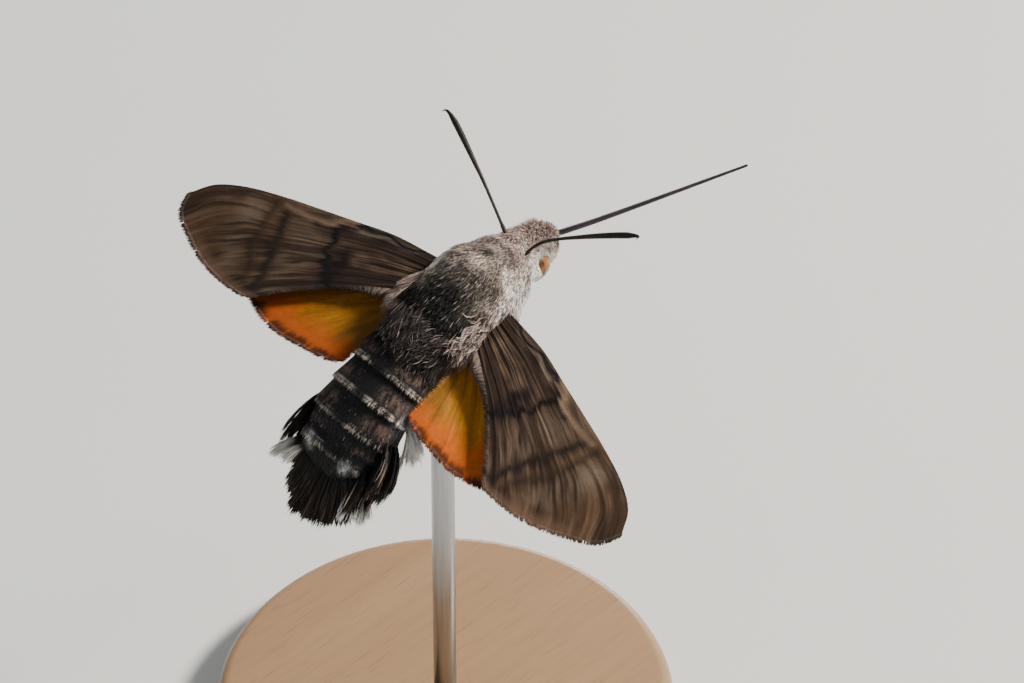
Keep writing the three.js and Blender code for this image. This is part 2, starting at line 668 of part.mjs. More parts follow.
function addStand(group) {
  const profile = [
    new THREE.Vector2(0, 0),
    new THREE.Vector2(BASE_RADIUS - BASE_BEVEL, 0),
    new THREE.Vector2(BASE_RADIUS, BASE_BEVEL),
    new THREE.Vector2(BASE_RADIUS, BASE_HEIGHT - BASE_BEVEL),
    new THREE.Vector2(BASE_RADIUS - BASE_BEVEL, BASE_HEIGHT),
    new THREE.Vector2(0, BASE_HEIGHT),
  ];
  const base = new THREE.LatheGeometry(profile, BASE_SIDES);
  base.rotateX(Math.PI / 2);
  addNode(group, 'stand_base', geometrySolid(base), finish(COLOURS.base, 0.5));
  const bottom = BASE_HEIGHT + GAP;
  const length = FLIGHT_HEIGHT - bottom;
  const rod = new THREE.CylinderGeometry(ROD_RADIUS, ROD_RADIUS, length, ROD_SIDES);
  rod.rotateX(Math.PI / 2);
  rod.translate(0, 0, bottom + length / 2);
  moth.updateMatrixWorld();
  const body = thoraxGrown.transform(moth.matrixWorld.elements);
  addNode(group, 'stand_rod', geometrySolid(rod).subtract(body), finish(COLOURS.rod, 0.3, 1));
}

addHead(moth);
addBody(moth);
addWings(moth);
addLegs(moth);

const model = new THREE.Group();
model.add(moth);
addStand(model);

export default model;
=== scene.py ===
"""The looks of a life-size hummingbird hawk moth on its display stand.

Sizes are millimetres in the moth's own frame, whose origin is the centre of the thorax, with x to
its left, y to the rear and z up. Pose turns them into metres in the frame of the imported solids.
A place on the body is given by its distance from the snout along the spine, called at, and a turn
round the spine in radians, which is 0 on the left side and a quarter turn on the back.
"""
import logging
import math
from dataclasses import dataclass, field
from enum import Enum
from typing import Callable, Sequence

import bpy
import numpy as np
from mathutils import Matrix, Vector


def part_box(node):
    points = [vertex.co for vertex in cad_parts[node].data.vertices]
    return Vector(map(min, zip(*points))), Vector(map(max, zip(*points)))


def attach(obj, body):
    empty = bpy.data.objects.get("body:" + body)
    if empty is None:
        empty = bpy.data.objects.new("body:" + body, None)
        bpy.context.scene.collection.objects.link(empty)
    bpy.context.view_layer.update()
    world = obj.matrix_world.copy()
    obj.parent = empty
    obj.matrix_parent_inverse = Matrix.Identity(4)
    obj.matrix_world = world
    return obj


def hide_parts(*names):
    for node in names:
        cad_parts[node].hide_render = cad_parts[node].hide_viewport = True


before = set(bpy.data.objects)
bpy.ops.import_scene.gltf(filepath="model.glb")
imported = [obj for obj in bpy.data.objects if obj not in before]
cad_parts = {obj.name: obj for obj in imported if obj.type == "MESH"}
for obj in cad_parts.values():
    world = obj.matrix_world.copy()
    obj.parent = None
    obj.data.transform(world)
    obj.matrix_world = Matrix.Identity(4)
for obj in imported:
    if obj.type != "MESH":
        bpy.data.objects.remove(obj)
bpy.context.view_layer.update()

Array = np.ndarray
Colour = tuple[float, float, float]
LOG = logging.getLogger("hawk moth")
MM = 0.001
BAKE_MAP = "OFBake"
BAKE_PATCH = 0.003
SHADE = "shade"
NOISE_VALUES = 4096
OCTAVE_SHIFT = 17.3
LONG_STATIONS = (0.0, 0.25, 0.5, 0.75, 0.92)


class Side(Enum):
    """The two sides of the moth, with the sign of x on each."""

    LEFT = 1
    RIGHT = -1

    @property
    def word(self) -> str:
        """The side's name in lower case."""
        return self.name.lower()

    def mirror(self, points: Sequence) -> Array:
        """Points of the left side carried over to this side."""
        return np.asarray(points, float) * [self.value, 1, 1]


def unit(vectors: Array) -> Array:
    """Vectors divided by their own lengths."""
    return vectors / np.maximum(np.linalg.norm(vectors, axis=-1, keepdims=True), 1e-9)


def rise_between(values: Array, low: float, high: float) -> Array:
    """A smooth step from 0 at low to 1 at high: three times t squared less twice t cubed."""
    share = np.clip((values - low) / (high - low), 0, 1)
    return share * share * (3 - 2 * share)


def hump(values: Array, centre: float, spread: float) -> Array:
    """A bell that is 1 at the centre and falls as e to the minus square of the distance in spreads."""
    return np.exp(-(((values - centre) / spread) ** 2))


def blend(low: Array, high: Array, share: Array) -> Array:
    """Colours or points between two sets, low where the share is 0 and high where it is 1."""
    low = np.asarray(low, float)
    return low + (np.asarray(high) - low) * np.asarray(share)[..., None]


def ramp(values: Array, stops: Sequence[tuple[float, Colour]]) -> Array:
    """Colours read off a line of stops, straight between each stop and the next."""
    places = [place for place, _ in stops]
    return np.stack([np.interp(values, places, [c[i] for _, c in stops]) for i in range(3)], -1)


def painted(ground: Array, layers: Sequence[tuple[Array, Array]]) -> Array:
    """Colours under layers, each of which is mixed over what lies below it by its share.

    Args:
        ground: the lowest colours.
        layers: each layer's colour, or a colour for each place, and its share at each place.

    Returns:
        The mixed colours.
    """
    for colour, share in layers:
        ground = blend(ground, colour, share)
    return ground


def full_turn(count: int) -> Array:
    """Evenly spaced turns round a circle, from 0 on."""
    return np.linspace(0, 2 * np.pi, count, endpoint=False)


def raised(along: Array, out: Array, angle: Array) -> Array:
    """Ways that rise by an angle: its cosine times the way along plus its sine times the way out."""
    return along * np.cos(angle)[:, None] + out * np.sin(angle)[:, None]


def upright(way: Array) -> Array:
    """The ways straight up from a spine: its own ways, turned by a right angle in the upright plane."""
    return np.stack([np.zeros_like(way[..., 0]), -way[..., 2], way[..., 1]], -1)


def brightness(random: np.random.Generator, spread: float, count: int, most: float = 2.4) -> Array:
    """A factor for each hair: 1 plus a normal share of the spread, from 0.3 to the most allowed."""
    return np.clip(1 + spread * random.normal(size=count), 0.3, most)[:, None]


def in_scene(name: str, data: bpy.types.ID) -> bpy.types.Object:
    """Makes an object from its data and links it to the scene."""
    made = bpy.data.objects.new(name, data)
    bpy.context.scene.collection.objects.link(made)
    return made


def noise(points: Array, size: float, seed: int, octaves: int = 2) -> Array:
    """Smooth random values, mostly between -1 and 1.

    Random values at the corners of a lattice are mixed by smooth steps. Each further octave has
    cells and weights half as large.

    Args:
        points: places, in any number of dimensions.
        size: the side of the largest cell, in the units of the points.
        seed: picks the values.
        octaves: how many lattices are added.

    Returns:
        One value for each point.
    """
    random = np.random.default_rng(seed)
    order = random.permutation(NOISE_VALUES)
    values = random.uniform(-2, 2, NOISE_VALUES)
    total = np.zeros(points.shape[:-1])
    for octave in range(octaves):
        place = points * (2**octave / size) + OCTAVE_SHIFT * octave
        cell = np.floor(place).astype(int)
        share = rise_between(place - cell, 0, 1)
        for corner in np.ndindex(*[2] * points.shape[-1]):
            index, weight = np.zeros(total.shape, int), np.ones(total.shape)
            for axis, bit in enumerate(corner):
                index = order[(index + cell[..., axis] + bit) % NOISE_VALUES]
                weight = weight * (share[..., axis] if bit else 1 - share[..., axis])
            total += weight * values[index] * 0.5**octave
    return total


def near_path(points: Array, path: Sequence[tuple[float, float]], width: float) -> Array:
    """How near points of a plane are to a broken line: 1 on it, falling as a bell of that width.

    Args:
        points: places on the plane.
        path: the corners of the line.
        width: the distance at which the bell has fallen to 0.37.

    Returns:
        One value for each point.
    """
    corners = np.asarray(path, float)
    best = np.full(points.shape[:-1], np.inf)
    for start, end in zip(corners[:-1], corners[1:]):
        way = end - start
        share = np.clip(((points - start) @ way) / (way @ way), 0, 1)
        gap = np.linalg.norm(points - start - share[..., None] * way, axis=-1)
        best = np.minimum(best, gap)
    return np.exp(-((best / width) ** 2))


class SmoothCurve:
    """A centripetal Catmull-Rom curve through points, read by the distance along it."""

    def __init__(self, points: Sequence[Sequence[float]], samples: int = 48) -> None:
        """Lays out the curve.

        Between two points it is the cubic whose end slopes come from the neighbours, each gap
        weighed by the square root of its length.

        Args:
            points: the points that the curve passes through.
            samples: the steps between two points.
        """
        given = np.asarray(points, float)
        chain = np.vstack([2 * given[0] - given[1], given, 2 * given[-1] - given[-2]])
        gaps = np.sqrt(np.linalg.norm(np.diff(chain, axis=0), axis=1))[:, None, None]
        p0, p1, p2, p3 = (chain[i:len(chain) - 3 + i, None] for i in range(4))
        g0, g1, g2 = gaps[:-2], gaps[1:-1], gaps[2:]
        slope1 = ((p1 - p0) / g0 - (p2 - p0) / (g0 + g1) + (p2 - p1) / g1) * g1
        slope2 = ((p2 - p1) / g1 - (p3 - p1) / (g1 + g2) + (p3 - p2) / g2) * g1
        t = np.linspace(0, 1, samples, endpoint=False)[None, :, None]
        square = 3 * (p2 - p1) - 2 * slope1 - slope2
        cube = 2 * (p1 - p2) + slope1 + slope2
        inner = (p1 + slope1 * t + square * t**2 + cube * t**3).reshape(-1, given.shape[1])
        self.points = np.vstack([inner, given[-1]])
        steps = np.linalg.norm(np.diff(self.points, axis=0), axis=1)
        self.places = np.concatenate([[0], np.cumsum(steps)])
        self.length = float(self.places[-1])

    def at(self, distance: Array) -> Array:
        """Points at distances along the curve, which runs on straight past its ends.

        Args:
            distance: distances from the first point.

        Returns:
            The points.
        """
        inside = np.clip(distance, 0, self.length)
        columns = [np.interp(inside, self.places, column) for column in self.points.T]
        past = np.asarray(distance - inside)[..., None]
        ends = np.where(past < 0, unit(self.points[1] - self.points[0]),
                        unit(self.points[-1] - self.points[-2]))
        return np.stack(columns, -1) + past * ends

    def share(self, share: Array) -> Array:
        """Points at shares of the whole length, from 0 to 1."""
        return self.at(np.asarray(share) * self.length)

    def way(self, distance: Array, step: float = 0.05) -> Array:
        """Unit directions of the curve at distances along it."""
        return unit(self.at(distance + step) - self.at(distance - step))


@dataclass(frozen=True)
class Pose:
    """Where the moth's own frame stands on the display stand."""

    bank: float = math.radians(6)
    height: float = 44.0
    ahead: float = 3.4

    def world(self, points: Array) -> Array:
        """Turns points by the bank round the long axis, left side up, and lifts them.

        Args:
            points: places in the moth's frame, in millimetres.

        Returns:
            The places in the frame of the solids, in metres.
        """
        c, s = math.cos(self.bank), math.sin(self.bank)
        turn = np.array([[c, 0, s], [0, 1, 0], [-s, 0, c]])
        return (points @ turn + [0, -self.ahead, self.height]) * MM


POSE = Pose()


def math_node(operation: str, swapped: bool = False) -> Callable[["Socket", object], "Socket"]:
    """Makes an operator of Socket, which adds one Math node.

    Args:
        operation: the node's operation.
        swapped: whether the other value comes before the socket.

    Returns:
        The operator.
    """
    def work_out(self: "Socket", other: object) -> "Socket":
        """The node's output."""
        pair = {0: other, 1: self} if swapped else {0: self, 1: other}
        return self.graph.node("ShaderNodeMath", {"operation": operation}, pair)

    return work_out


class Socket:
    """A node's output in a sum: an expression on it adds the Math nodes that work it out."""

    def __init__(self, graph: "Graph", link: bpy.types.NodeSocket) -> None:
        """Keeps the graph and the output socket."""
        self.graph = graph
        self.link = link

    __add__ = __radd__ = math_node("ADD")
    __mul__ = __rmul__ = math_node("MULTIPLY")
    __sub__ = math_node("SUBTRACT")
    __rsub__ = math_node("SUBTRACT", swapped=True)

    def step(self, low: float, high: float) -> "Socket":
        """A smooth step from 0 at low to 1 at high."""
        return self.graph.node("ShaderNodeMapRange", {"interpolation_type": "SMOOTHSTEP"},
                               {"Value": self, "From Min": low, "From Max": high})


class Graph:
    """The nodes of one material, with one Principled shader."""

    def __init__(self, name: str) -> None:
        """Starts a material with an empty node tree.

        Args:
            name: the material's name.
        """
        self.material = bpy.data.materials.new(name)
        self.material.use_nodes = True
        self.tree = self.material.node_tree
        self.tree.nodes.clear()

    def node(self, kind: str, settings: dict, sockets: dict, output: object = 0) -> Socket:
        """Adds one node.

        Args:
            kind: the node's type.
            settings: its properties, which are set first.
            sockets: values or links of its inputs, by name or place.
            output: the name or place of the output that is handed back.

        Returns:
            The output.
        """
        made = self.tree.nodes.new(kind)
        for key, value in settings.items():
            setattr(made, key, value)
        for key, value in sockets.items():
            if isinstance(value, Socket):
                self.tree.links.new(value.link, made.inputs[key])
            else:
                made.inputs[key].default_value = value
        return Socket(self, made.outputs[output])

    def place(self) -> Socket:
        """The Object coordinates, which are metres in the frame of the solids."""
        return self.node("ShaderNodeTexCoord", {}, {}, "Object")

    def noise(self, vector: Socket, scale: float, detail: float = 3, rough: float = 0.55) -> Socket:
        """Noise from 0 to 1 at a scale in turns to the metre."""
        sockets = {"Vector": vector, "Scale": scale, "Detail": detail, "Roughness": rough}
        return self.node("ShaderNodeTexNoise", {}, sockets, "Fac")

    def stretched(self, vector: Socket, scale: tuple[float, float, float]) -> Socket:
        """The coordinates with each axis scaled."""
        return self.node("ShaderNodeMapping", {}, {"Vector": vector, "Scale": scale})

    def attribute(self, name: str) -> Socket:
        """The colours that a piece keeps at its points."""
        return self.node("ShaderNodeAttribute", {"attribute_name": name}, {}, "Color")

    def mix(self, share: Socket, low: Colour, high: Colour) -> Socket:
        """Mixes two colours by a share that varies over the surface."""
        sockets = {0: share, 6: (*low, 1), 7: (*high, 1)}
        return self.node("ShaderNodeMix", {"data_type": "RGBA"}, sockets, 2)

    def brightened(self, colour: Socket, factor: Socket) -> Socket:
        """A colour times a number that varies over the surface."""
        sockets = {"Vector": colour, "Scale": factor}
        return self.node("ShaderNodeVectorMath", {"operation": "SCALE"}, sockets, "Vector")

    def cells(self, scale: float) -> Socket:
        """Distances from the middles of small cells, at a scale in cells to the metre."""
        sockets = {"Vector": self.place(), "Scale": scale}
        return self.node("ShaderNodeTexVoronoi", {}, sockets, "Distance")

    def bump(self, height: Socket, distance: float, strength: float = 1.0) -> Socket:
        """Normals turned as by a relief of that depth in metres."""
        sockets = {"Strength": strength, "Distance": distance, "Height": height}
        return self.node("ShaderNodeBump", {}, sockets)

    def finish(self, **sockets: object) -> bpy.types.Material:
        """Adds the Principled shader and the output.

        Args:
            sockets: the shader's sockets, with _ in their names for a space.

        Returns:
            The finished material.
        """
        named = {key.replace("_", " "): value for key, value in sockets.items()}
        shader = self.node("ShaderNodeBsdfPrincipled", {}, named)
        output = self.tree.nodes.new("ShaderNodeOutputMaterial")
        self.tree.links.new(shader.link, output.inputs["Surface"])
        return self.material


@dataclass(frozen=True)
class ScaleFinish:
    """Fur, scales and skin: the piece's own shades, mottled, with a soft sheen."""

    name: str
    roughness: float = 0.6
    sheen: float = 0.08
    mottle: float = 0.35
    grain_per_metre: float = 2600.0
    relief: float = 0.00004
    specular: float = 0.18

    def material(self) -> bpy.types.Material:
        """The shades times a mottle of noise, with the same noise as a fine relief.

        Returns:
            The material.
        """
        graph = Graph(self.name)
        noise = graph.noise(graph.place(), self.grain_per_metre, 4, 0.65)
        factor = (noise - 0.5) * (2 * self.mottle) + 1
        colour = graph.brightened(graph.attribute(SHADE), factor)
        return graph.finish(
            Base_Color=colour, Roughness=self.roughness, Normal=graph.bump(noise, self.relief, 0.6),
            Sheen_Weight=self.sheen, Sheen_Roughness=0.4, Specular_IOR_Level=self.specular,
        )


@dataclass(frozen=True)
class WingFinish:
    """Wing scales: the piece's own shades, with rows of tiny overlapping scales as grain and relief."""

    name: str
    scales_per_metre: float = 15000.0
    streaks_per_metre: float = 1800.0
    roughness: float = 0.6
    relief: float = 0.000014

    def material(self) -> bpy.types.Material:
        """The shades, each small cell a little lighter or darker, with the cells as a relief.

        Returns:
            The material.
        """
        graph = Graph(self.name)
        cells = graph.cells(self.scales_per_metre)
        streaks = graph.noise(graph.place(), self.streaks_per_metre, 5, 0.7)
        factor = (streaks - 0.5) * 0.7 + (0.5 - cells) * 0.35 + 1
        colour = graph.brightened(graph.attribute(SHADE), factor)
        return graph.finish(
            Base_Color=colour, Roughness=self.roughness, Normal=graph.bump(cells, self.relief, 0.5),
            Sheen_Weight=0.04, Sheen_Roughness=0.45, Specular_IOR_Level=0.12,
        )


@dataclass(frozen=True)
class EyeFinish:
    """A compound eye: the piece's own shades under fine facets, with a soft gloss."""

    name: str = "compound_eye"
    facets_per_metre: float = 17000.0

    def material(self) -> bpy.types.Material:
        """The shades, darker between the facets, under a clear gloss.

        Returns:
            The material.
        """
        graph = Graph(self.name)
        cells = graph.cells(self.facets_per_metre)
        colour = graph.brightened(graph.attribute(SHADE), 1.15 - cells * 0.5)
        return graph.finish(
            Base_Color=colour, Roughness=0.38, Normal=graph.bump(1 - cells, 0.00001, 0.5),
            Specular_IOR_Level=0.3, Coat_Weight=0.2, Coat_Roughness=0.1,
        )


@dataclass(frozen=True)
class HornFinish:
    """Horn and fine bare or closely scaled tubes: the piece's own shades with some gloss."""

    name: str
    roughness: float = 0.35
    specular: float = 0.25

    def material(self) -> bpy.types.Material:
        """The shades with a faint grain in colour and gloss.

        Returns:
            The material.
        """
        graph = Graph(self.name)
        noise = graph.noise(graph.place(), 3500, 3)
        colour = graph.brightened(graph.attribute(SHADE), 0.8 + noise * 0.4)
        return graph.finish(
            Base_Color=colour, Roughness=noise * 0.2 + (self.roughness - 0.1),
            Normal=graph.bump(noise, 0.00001, 0.4), Specular_IOR_Level=self.specular,
        )


@dataclass(frozen=True)
class WoodFinish:
    """Pale hardwood with long grain under a satin varnish."""

    name: str = "pale_wood"
    light: Colour = (0.40, 0.25, 0.13)
    dark: Colour = (0.22, 0.12, 0.055)
    pores_per_metre: float = 5200.0

    def material(self) -> bpy.types.Material:
        """Long streaks of growth, coarse and fine, with fine dark pores along the grain.

        Returns:
            The material.
        """
        graph = Graph(self.name)
        place = graph.place()
        broad = graph.noise(graph.stretched(place, (1.0, 0.10, 1.0)), 110, 4, 0.6)
        fine = graph.noise(graph.stretched(place, (1.0, 0.035, 1.0)), 900, 4, 0.65)
        pores = graph.noise(graph.stretched(place, (1.0, 0.05, 1.0)), self.pores_per_metre, 2)
        share = broad * 0.5 + fine * 0.5 + pores.step(0.54, 0.72) * 0.3 - 0.1
        colour = graph.mix(share, self.light, self.dark)
        return graph.finish(Base_Color=colour, Roughness=0.32 + pores * 0.15,
                            Normal=graph.bump(pores, 0.00004, 0.3), Coat_Weight=0.25,
                            Coat_Roughness=0.2)


@dataclass(frozen=True)
class SteelFinish:
    """Brushed steel, drawn along the rod."""

    name: str = "brushed_steel"
    dark: Colour = (0.30, 0.30, 0.31)
    light: Colour = (0.48, 0.48, 0.49)

    def material(self) -> bpy.types.Material:
        """Grey metal whose roughness follows long fine scratches.

        Returns:
            The material.
        """
        graph = Graph(self.name)
        scratches = graph.noise(graph.stretched(graph.place(), (1.0, 1.0, 0.03)), 6000, 4)
        colour = graph.mix(scratches, self.dark, self.light)
        return graph.finish(Base_Color=colour, Metallic=1.0, Roughness=0.22 + scratches * 0.2,
                            Normal=graph.bump(scratches, 0.00001, 0.2))


@dataclass(frozen=True)
class FloorFinish:
    """The pale backdrop under the stand."""

    name: str = "pale_floor"
    colour: Colour = (0.72, 0.73, 0.70)

    def material(self) -> bpy.types.Material:
        """A pale matt paper with a very faint mottle.

        Returns:
            The material.
        """
        graph = Graph(self.name)
        noise = graph.noise(graph.place(), 40, 2)
        colour = graph.mix(noise, tuple(0.97 * value for value in self.colour), self.colour)
        return graph.finish(Base_Color=colour, Roughness=0.85)


@dataclass
class Piece:
    """A mesh on its way into the scene: points in the moth's frame, faces, shades and bake places."""

    name: str
    slot: str
    points: Array
    faces: list[Array]
    shades: Array | None = None
    bake: Array | None = None

    def volume(self) -> float:
        """The enclosed volume: a sixth of the sum of each triangle's corner box product.

        Returns:
            The volume, less than 0 where the faces point inwards.
        """
        total = 0.0
        for faces in self.faces:
            for corner in range(1, faces.shape[1] - 1):
                a, b, c = (self.points[faces[:, i]] for i in (0, corner, corner + 1))
                total += float((a * np.cross(b, c)).sum()) / 6
        return total

    def build(self, material: bpy.types.Material, *nodes: str) -> bpy.types.Object:
        """Puts the mesh into the scene, its faces outwards.

        Args:
            material: its finish.
            nodes: the solids that it stands for.

        Returns:
            The object, which rides on the root body.
        """
        faces = self.faces
        if self.volume() < 0:
            faces = [group[:, ::-1] for group in faces]
        mesh = bpy.data.meshes.new(self.name)
        corners = np.concatenate([group.ravel() for group in faces]).astype(np.int32)
        sizes = np.concatenate([np.full(len(group), group.shape[1]) for group in faces])
        starts = np.concatenate([[0], np.cumsum(sizes)[:-1]]).astype(np.int32)
        mesh.vertices.add(len(self.points))
        mesh.vertices.foreach_set("co", POSE.world(self.points).astype(np.float32).ravel())
        mesh.loops.add(len(corners))
        mesh.loops.foreach_set("vertex_index", corners)
        mesh.polygons.add(len(starts))
        mesh.polygons.foreach_set("loop_start", starts)
        mesh.update(calc_edges=True)
        mesh.polygons.foreach_set("use_smooth", np.ones(len(starts), bool))
        if self.shades is not None:
            shades = np.ones((len(self.points), 4), np.float32)
            shades[:, :3] = np.clip(self.shades, 0, 1)
            layer = mesh.color_attributes.new(SHADE, "FLOAT_COLOR", "POINT")
            layer.data.foreach_set("color", shades.ravel())
        if self.bake is not None:
            places = mesh.uv_layers.new(name=BAKE_MAP)
            places.uv.foreach_set("vector", np.clip(self.bake[corners], 0, 1).astype(np.float32).ravel())
        mesh.validate()
        made = in_scene(self.name, mesh)
        mesh.materials.append(material)
        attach(made, "root")
        if nodes:
            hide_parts(*nodes)
        LOG.info("%s: %d faces", self.name, len(starts))
        return made


def ring_faces(rows: int, columns: int) -> list[Array]:
    """Faces of rings of points, closed at both ends by a fan to a pole.

    Args:
        rows: how many rings.
        columns: how many points in each.

    Returns:
        The quads between rings and the triangles to the poles, which are the last two points.
    """
    row, column = np.meshgrid(np.arange(rows - 1), np.arange(columns), indexing="ij")
    here = (row * columns + column).ravel()
    beside = (row * columns + (column + 1) % columns).ravel()
    quads = np.stack([here, beside, beside + columns, here + columns], 1)
    ring = np.arange(columns)
    after = (ring + 1) % columns
    first = np.stack([after, ring, np.full(columns, rows * columns)], 1)
    last = (rows - 1) * columns
    second = np.stack([last + ring, last + after, np.full(columns, rows * columns + 1)], 1)
    return [quads, first, second]


def ringed(rings: Array) -> Array:
    """The points of rings in a row, with the centres of the first and last ring as poles."""
    return np.vstack([rings.reshape(-1, 3), rings[0].mean(0), rings[-1].mean(0)])


def tube_rings(curve: SmoothCurve, radius: Callable[[Array], Array], rows: int, columns: int,
               upward: Sequence[float], flatness: float = 1.0) -> Array:
    """Rings round a curve: each point is the centre plus the radius times cosine and sine of its turn.

    Args:
        curve: the centre line.
        radius: gives the radius at each share of the way.
        rows: how many rings.
        columns: how many points in each.
        upward: a direction that the curve never runs along.
        flatness: the height of a ring for a width of 1.

    Returns:
        The rings, as rows of points.
    """
    share = np.linspace(0, 1, rows)
    centre = curve.share(share)
    way = curve.way(share * curve.length)
    across = unit(np.cross(way, np.asarray(upward, float)))
    up = np.cross(across, way)
    turn = full_turn(columns)
    size = radius(share)[:, None, None]
    return (centre[:, None] + size * np.cos(turn)[None, :, None] * across[:, None]
            + flatness * size * np.sin(turn)[None, :, None] * up[:, None])


def ring_shares(rows: int, columns: int) -> Array:
    """The share of the way at each point of a closed tube, in the order of ringed."""
    return np.append(np.repeat(np.linspace(0, 1, rows), columns), [0, 1])


def on_rings(rings: Array, row: Array, column: Array) -> tuple[Array, Array, Array]:
    """Roots for scales on a tube.

    Args:
        rings: the tube's rings.
        row: the ring of each root.
        column: its place in the ring.

    Returns:
        The points, the unit ways along the tube and those out of it.
    """
    root = rings[row, column]
    ahead = unit(rings[row + 2, column] - rings[row - 1, column])
    return root, ahead, unit(root - rings[row].mean(1))


@dataclass
class Hairs:
    """Many thin tapered blades: hairs, long scales and bristles, as whole arrays.

    A blade's centre line leaves its root along start and bends evenly to end. Its section is a flat
    triangle, broad across and low, which swells a little past the root and runs out to a point.
    """

    root: Array
    start: Array
    end: Array
    out: Array
    length: Array
    width: Array
    low: Array
    high: Array
    bake: Array
    curl: float = 0.0
    thin: float = 0.35
    turning: tuple[float, float] | None = None
    stations: Sequence[float] = (0.0, 0.4, 0.75)
    fullness: Sequence[float] = (0.75, 1.0, 0.7)

    def centre(self, share: Array, phase: Array) -> Array:
        """The centre line: the root, plus the length times the bending way, plus a sideways wave.

        Args:
            share: shares of the length, from root to tip.
            phase: where each blade's wave starts, in radians.

        Returns:
            Points by blade and by share.
        """
        t = share[None, :, None]
        bent = self.start[:, None] * t + (self.end - self.start)[:, None] * t**2 / 2
        across = unit(np.cross(self.start, self.out))
        wave = self.curl * np.sin(phase[:, None] + 7.0 * share[None])[..., None] * t
        return self.root[:, None] + self.length[:, None, None] * (bent + across[:, None] * wave)

    def piece(self, name: str, slot: str) -> Piece:
        """Joins the blades into one mesh.

        Args:
            name: the piece's name.
            slot: the record's slot for its finish.

        Returns:
            The piece, with a shade that runs from low at the root to high at the tip.
        """
        count, levels = len(self.root), len(self.stations)
        phase = np.random.default_rng(count).uniform(0, 2 * np.pi, count)
        share = np.asarray(self.stations)
        line = self.centre(share, phase)
        tip = self.centre(np.array([1.0]), phase)
        across = unit(np.cross(self.start, self.out))[:, None]
        up = self.out[:, None]
        half = (self.width[:, None] * np.asarray(self.fullness) / 2)[..., None]
        left, right = line - across * half, line + across * half
        ridge = line + up * half * self.thin * 2
        rings = np.stack([left, right, ridge], 2).reshape(count, levels * 3, 3)
        points = np.concatenate([rings, tip], 1)
        shares = np.append(np.repeat(share, 3), 1.0)
        lightness = rise_between(shares, *self.turning) if self.turning else shares
        shades = blend(self.low[:, None], self.high[:, None], lightness[None])
        sideways = np.append(np.tile([-0.5, 0.5, 0.0], levels), 0.0)
        spot = np.stack([sideways, shares - 0.5], -1) * BAKE_PATCH
        bake = np.clip(self.bake, BAKE_PATCH, 1 - BAKE_PATCH)[:, None] + spot[None]
        faces = self.blade_faces(levels)
        offsets = np.arange(count)[:, None, None] * (levels * 3 + 1)
        return Piece(name, slot, points.reshape(-1, 3), [(faces[None] + offsets).reshape(-1, 3)],
                     shades.reshape(-1, 3), bake.reshape(-1, 2))

    @staticmethod
    def blade_faces(levels: int) -> Array:
        """Triangles of one blade: its foot, its three sides between levels, and its point.

        Args:
            levels: how many stations a blade has before its tip.

        Returns:
            The triangles.
        """
        faces = [(0, 2, 1)]
        for level in range(levels - 1):
            for side in range(3):
                a, b = level * 3 + side, level * 3 + (side + 1) % 3
                faces += [(a, b, a + 3), (b, b + 3, a + 3)]
        last = (levels - 1) * 3
        faces += [(last + side, last + (side + 1) % 3, levels * 3) for side in range(3)]
        return np.array(faces)


